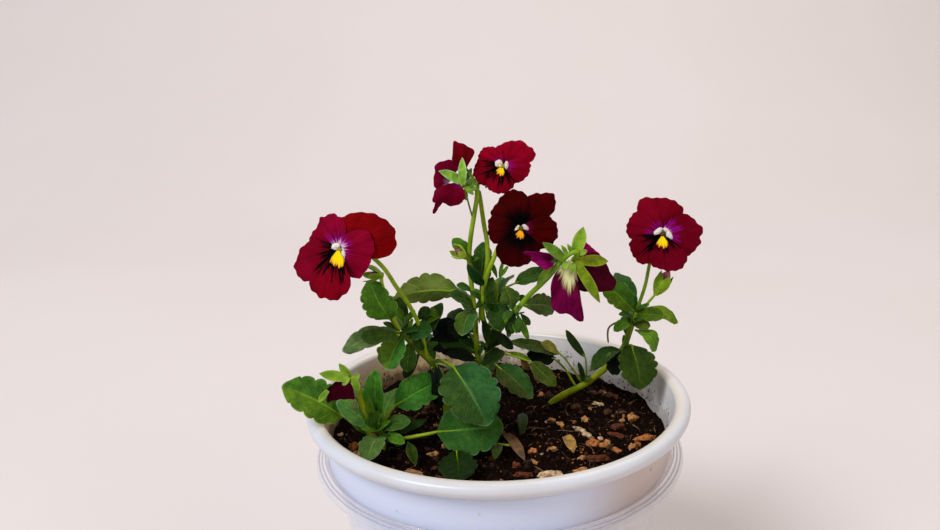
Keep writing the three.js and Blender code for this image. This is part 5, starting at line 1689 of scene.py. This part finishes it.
leafyStem("right", [
    (1.9, (1.1, 0.9, 0.4), [(27, 27.5, 141), (32, 26, 148.6), (38, 24, 154), (44.2, 23, 157.6),
                            (50.3, 22, 161.2), (55.2, 21, 165.2), (60, 20, 169.6), (64, 18.5, 174),
                            (68, 16.5, 179.5)]),
    (1.75, (0.75, 0.78, 0.5), [(66, 17.5, 176.5), (68, 16.5, 179.5), (71.5, 14.5, 187), (74, 12.5, 197),
                               (77, 12, 207)]),
    (0.55, (0.45, 0.4, 3.0), [(74, 12, 200), (66, 9, 201.5), (61.5, 8, 199.5), (60.4, 7, 196),
                              (60.6, 6, 191)]),
], rightLeaves, [rightBloom, rightBud], 8, [(50, 21, 163), (70, 14, 184), (74, 12, 199), (76, 12, 206)])
print("stems and leaves made")

# the left bud has no node of its own and sits deeper in its sepals
for bud, sink, nodes in ((centreBud, 0, ["bud_centre"]), (rightBud, 0, ["bud_right"]), (leftBud, 1.5, [])):
    finishedPiece("petals_" + bud["name"], [budShape(bud, sink)], [budPaint], "bud", *nodes,
                  seams=True, angle=70)

bloomPiece(leftBloom, crimson, 21, "petal")
bloomPiece(topBloom, crimson, 22, "petal")
bloomPiece(rightBloom, crimson, 23, "petal")
bloomPiece(sideBloom, {**crimson, "name": "crimson_folded"}, 24, "petal")
bloomPiece(darkBloom, shadedCrimson, 25, "dark_petal")
bloomPiece(noddingBloom, {**shadedCrimson, "name": "maroon_folded"}, 26, "dark_petal")
bloomPiece(backBloom, magenta, 27, "back_petal")
print("blooms made")


# Withered leaves on the peat

witheredLook = {
    "thickness": 0.35,
    "width": 6,
    "colour": (0.085, 0.045, 0.02),
    "light": (0.24, 0.14, 0.035),
    "line": (0.30, 0.20, 0.09),
}
# name, ground places of its two ends, tint
witheredLeaves = [
    ("dead_leaf_brown", (3, -15), (11.5, -41), (0.7, 0.55, 0.4)),
    ("dead_leaf_ochre", (34.5, -18), (36, -36), (1.7, 1.5, 0.8)),
    ("dead_leaf_left", (-46, -47), (-36, -62), (1.3, 1.0, 0.8)),
]


def witheredMaterial(look):
    material, shader, where = newMaterial("withered_leaf", 0.85)
    cloud = mottle(where, 260, 4)
    lines = calc("PINGPONG", fromMiddle(patternPlace(shader)[0]) * 4.0, 0.5)
    tone = mixColour(fade(cloud, 0.35, 0.65), look["colour"], look["light"])
    tone = mixColour(fade(lines, 0.15, 0.0, 0, 0.5), tone, look["line"])
    finishMaterial(shader, tinted(tone, pointColour(shader, "tint")), lines + cloud, 0.5, 0.0006)
    return material


def witheredPiece(name, start, end, tint, look, paint, seed):
    blade = bladeFrame(*[(x, y, float(soilHeight(x, y)) + 1.6) for x, y in (start, end)], (0, 0, 1))
    length = blade[1]
    phase = randomFrom(seed).uniform(0, 6.28)

    def shape(side, station):
        half = look["width"] / 2 * np.sin(np.pi * (0.06 + 0.88 * station)) ** 0.8
        rise = 0.06 * length * np.sin(np.pi * station) + 0.45 * half * side ** 2
        rise = rise + 0.5 * np.sin(9 * station + phase + 2 * side) * np.abs(side)
        forward = length * station * (1 - 0.08 * side ** 2)
        return bladePlace(blade, forward, half * side, rise, side, station)

    finishedPiece("withered_" + name, [formedSheet(10, 24, shape, tint)], [paint, paint], "dead_leaf", name,
                  thickness=look["thickness"], angle=70)


witheredPaint = witheredMaterial(witheredLook)
for number, row in enumerate(witheredLeaves):
    witheredPiece(*row, witheredLook, witheredPaint, 60 + number)
print("withered leaves laid")

for template, _, _ in gridTemplates.values():
    bpy.data.objects.remove(template)
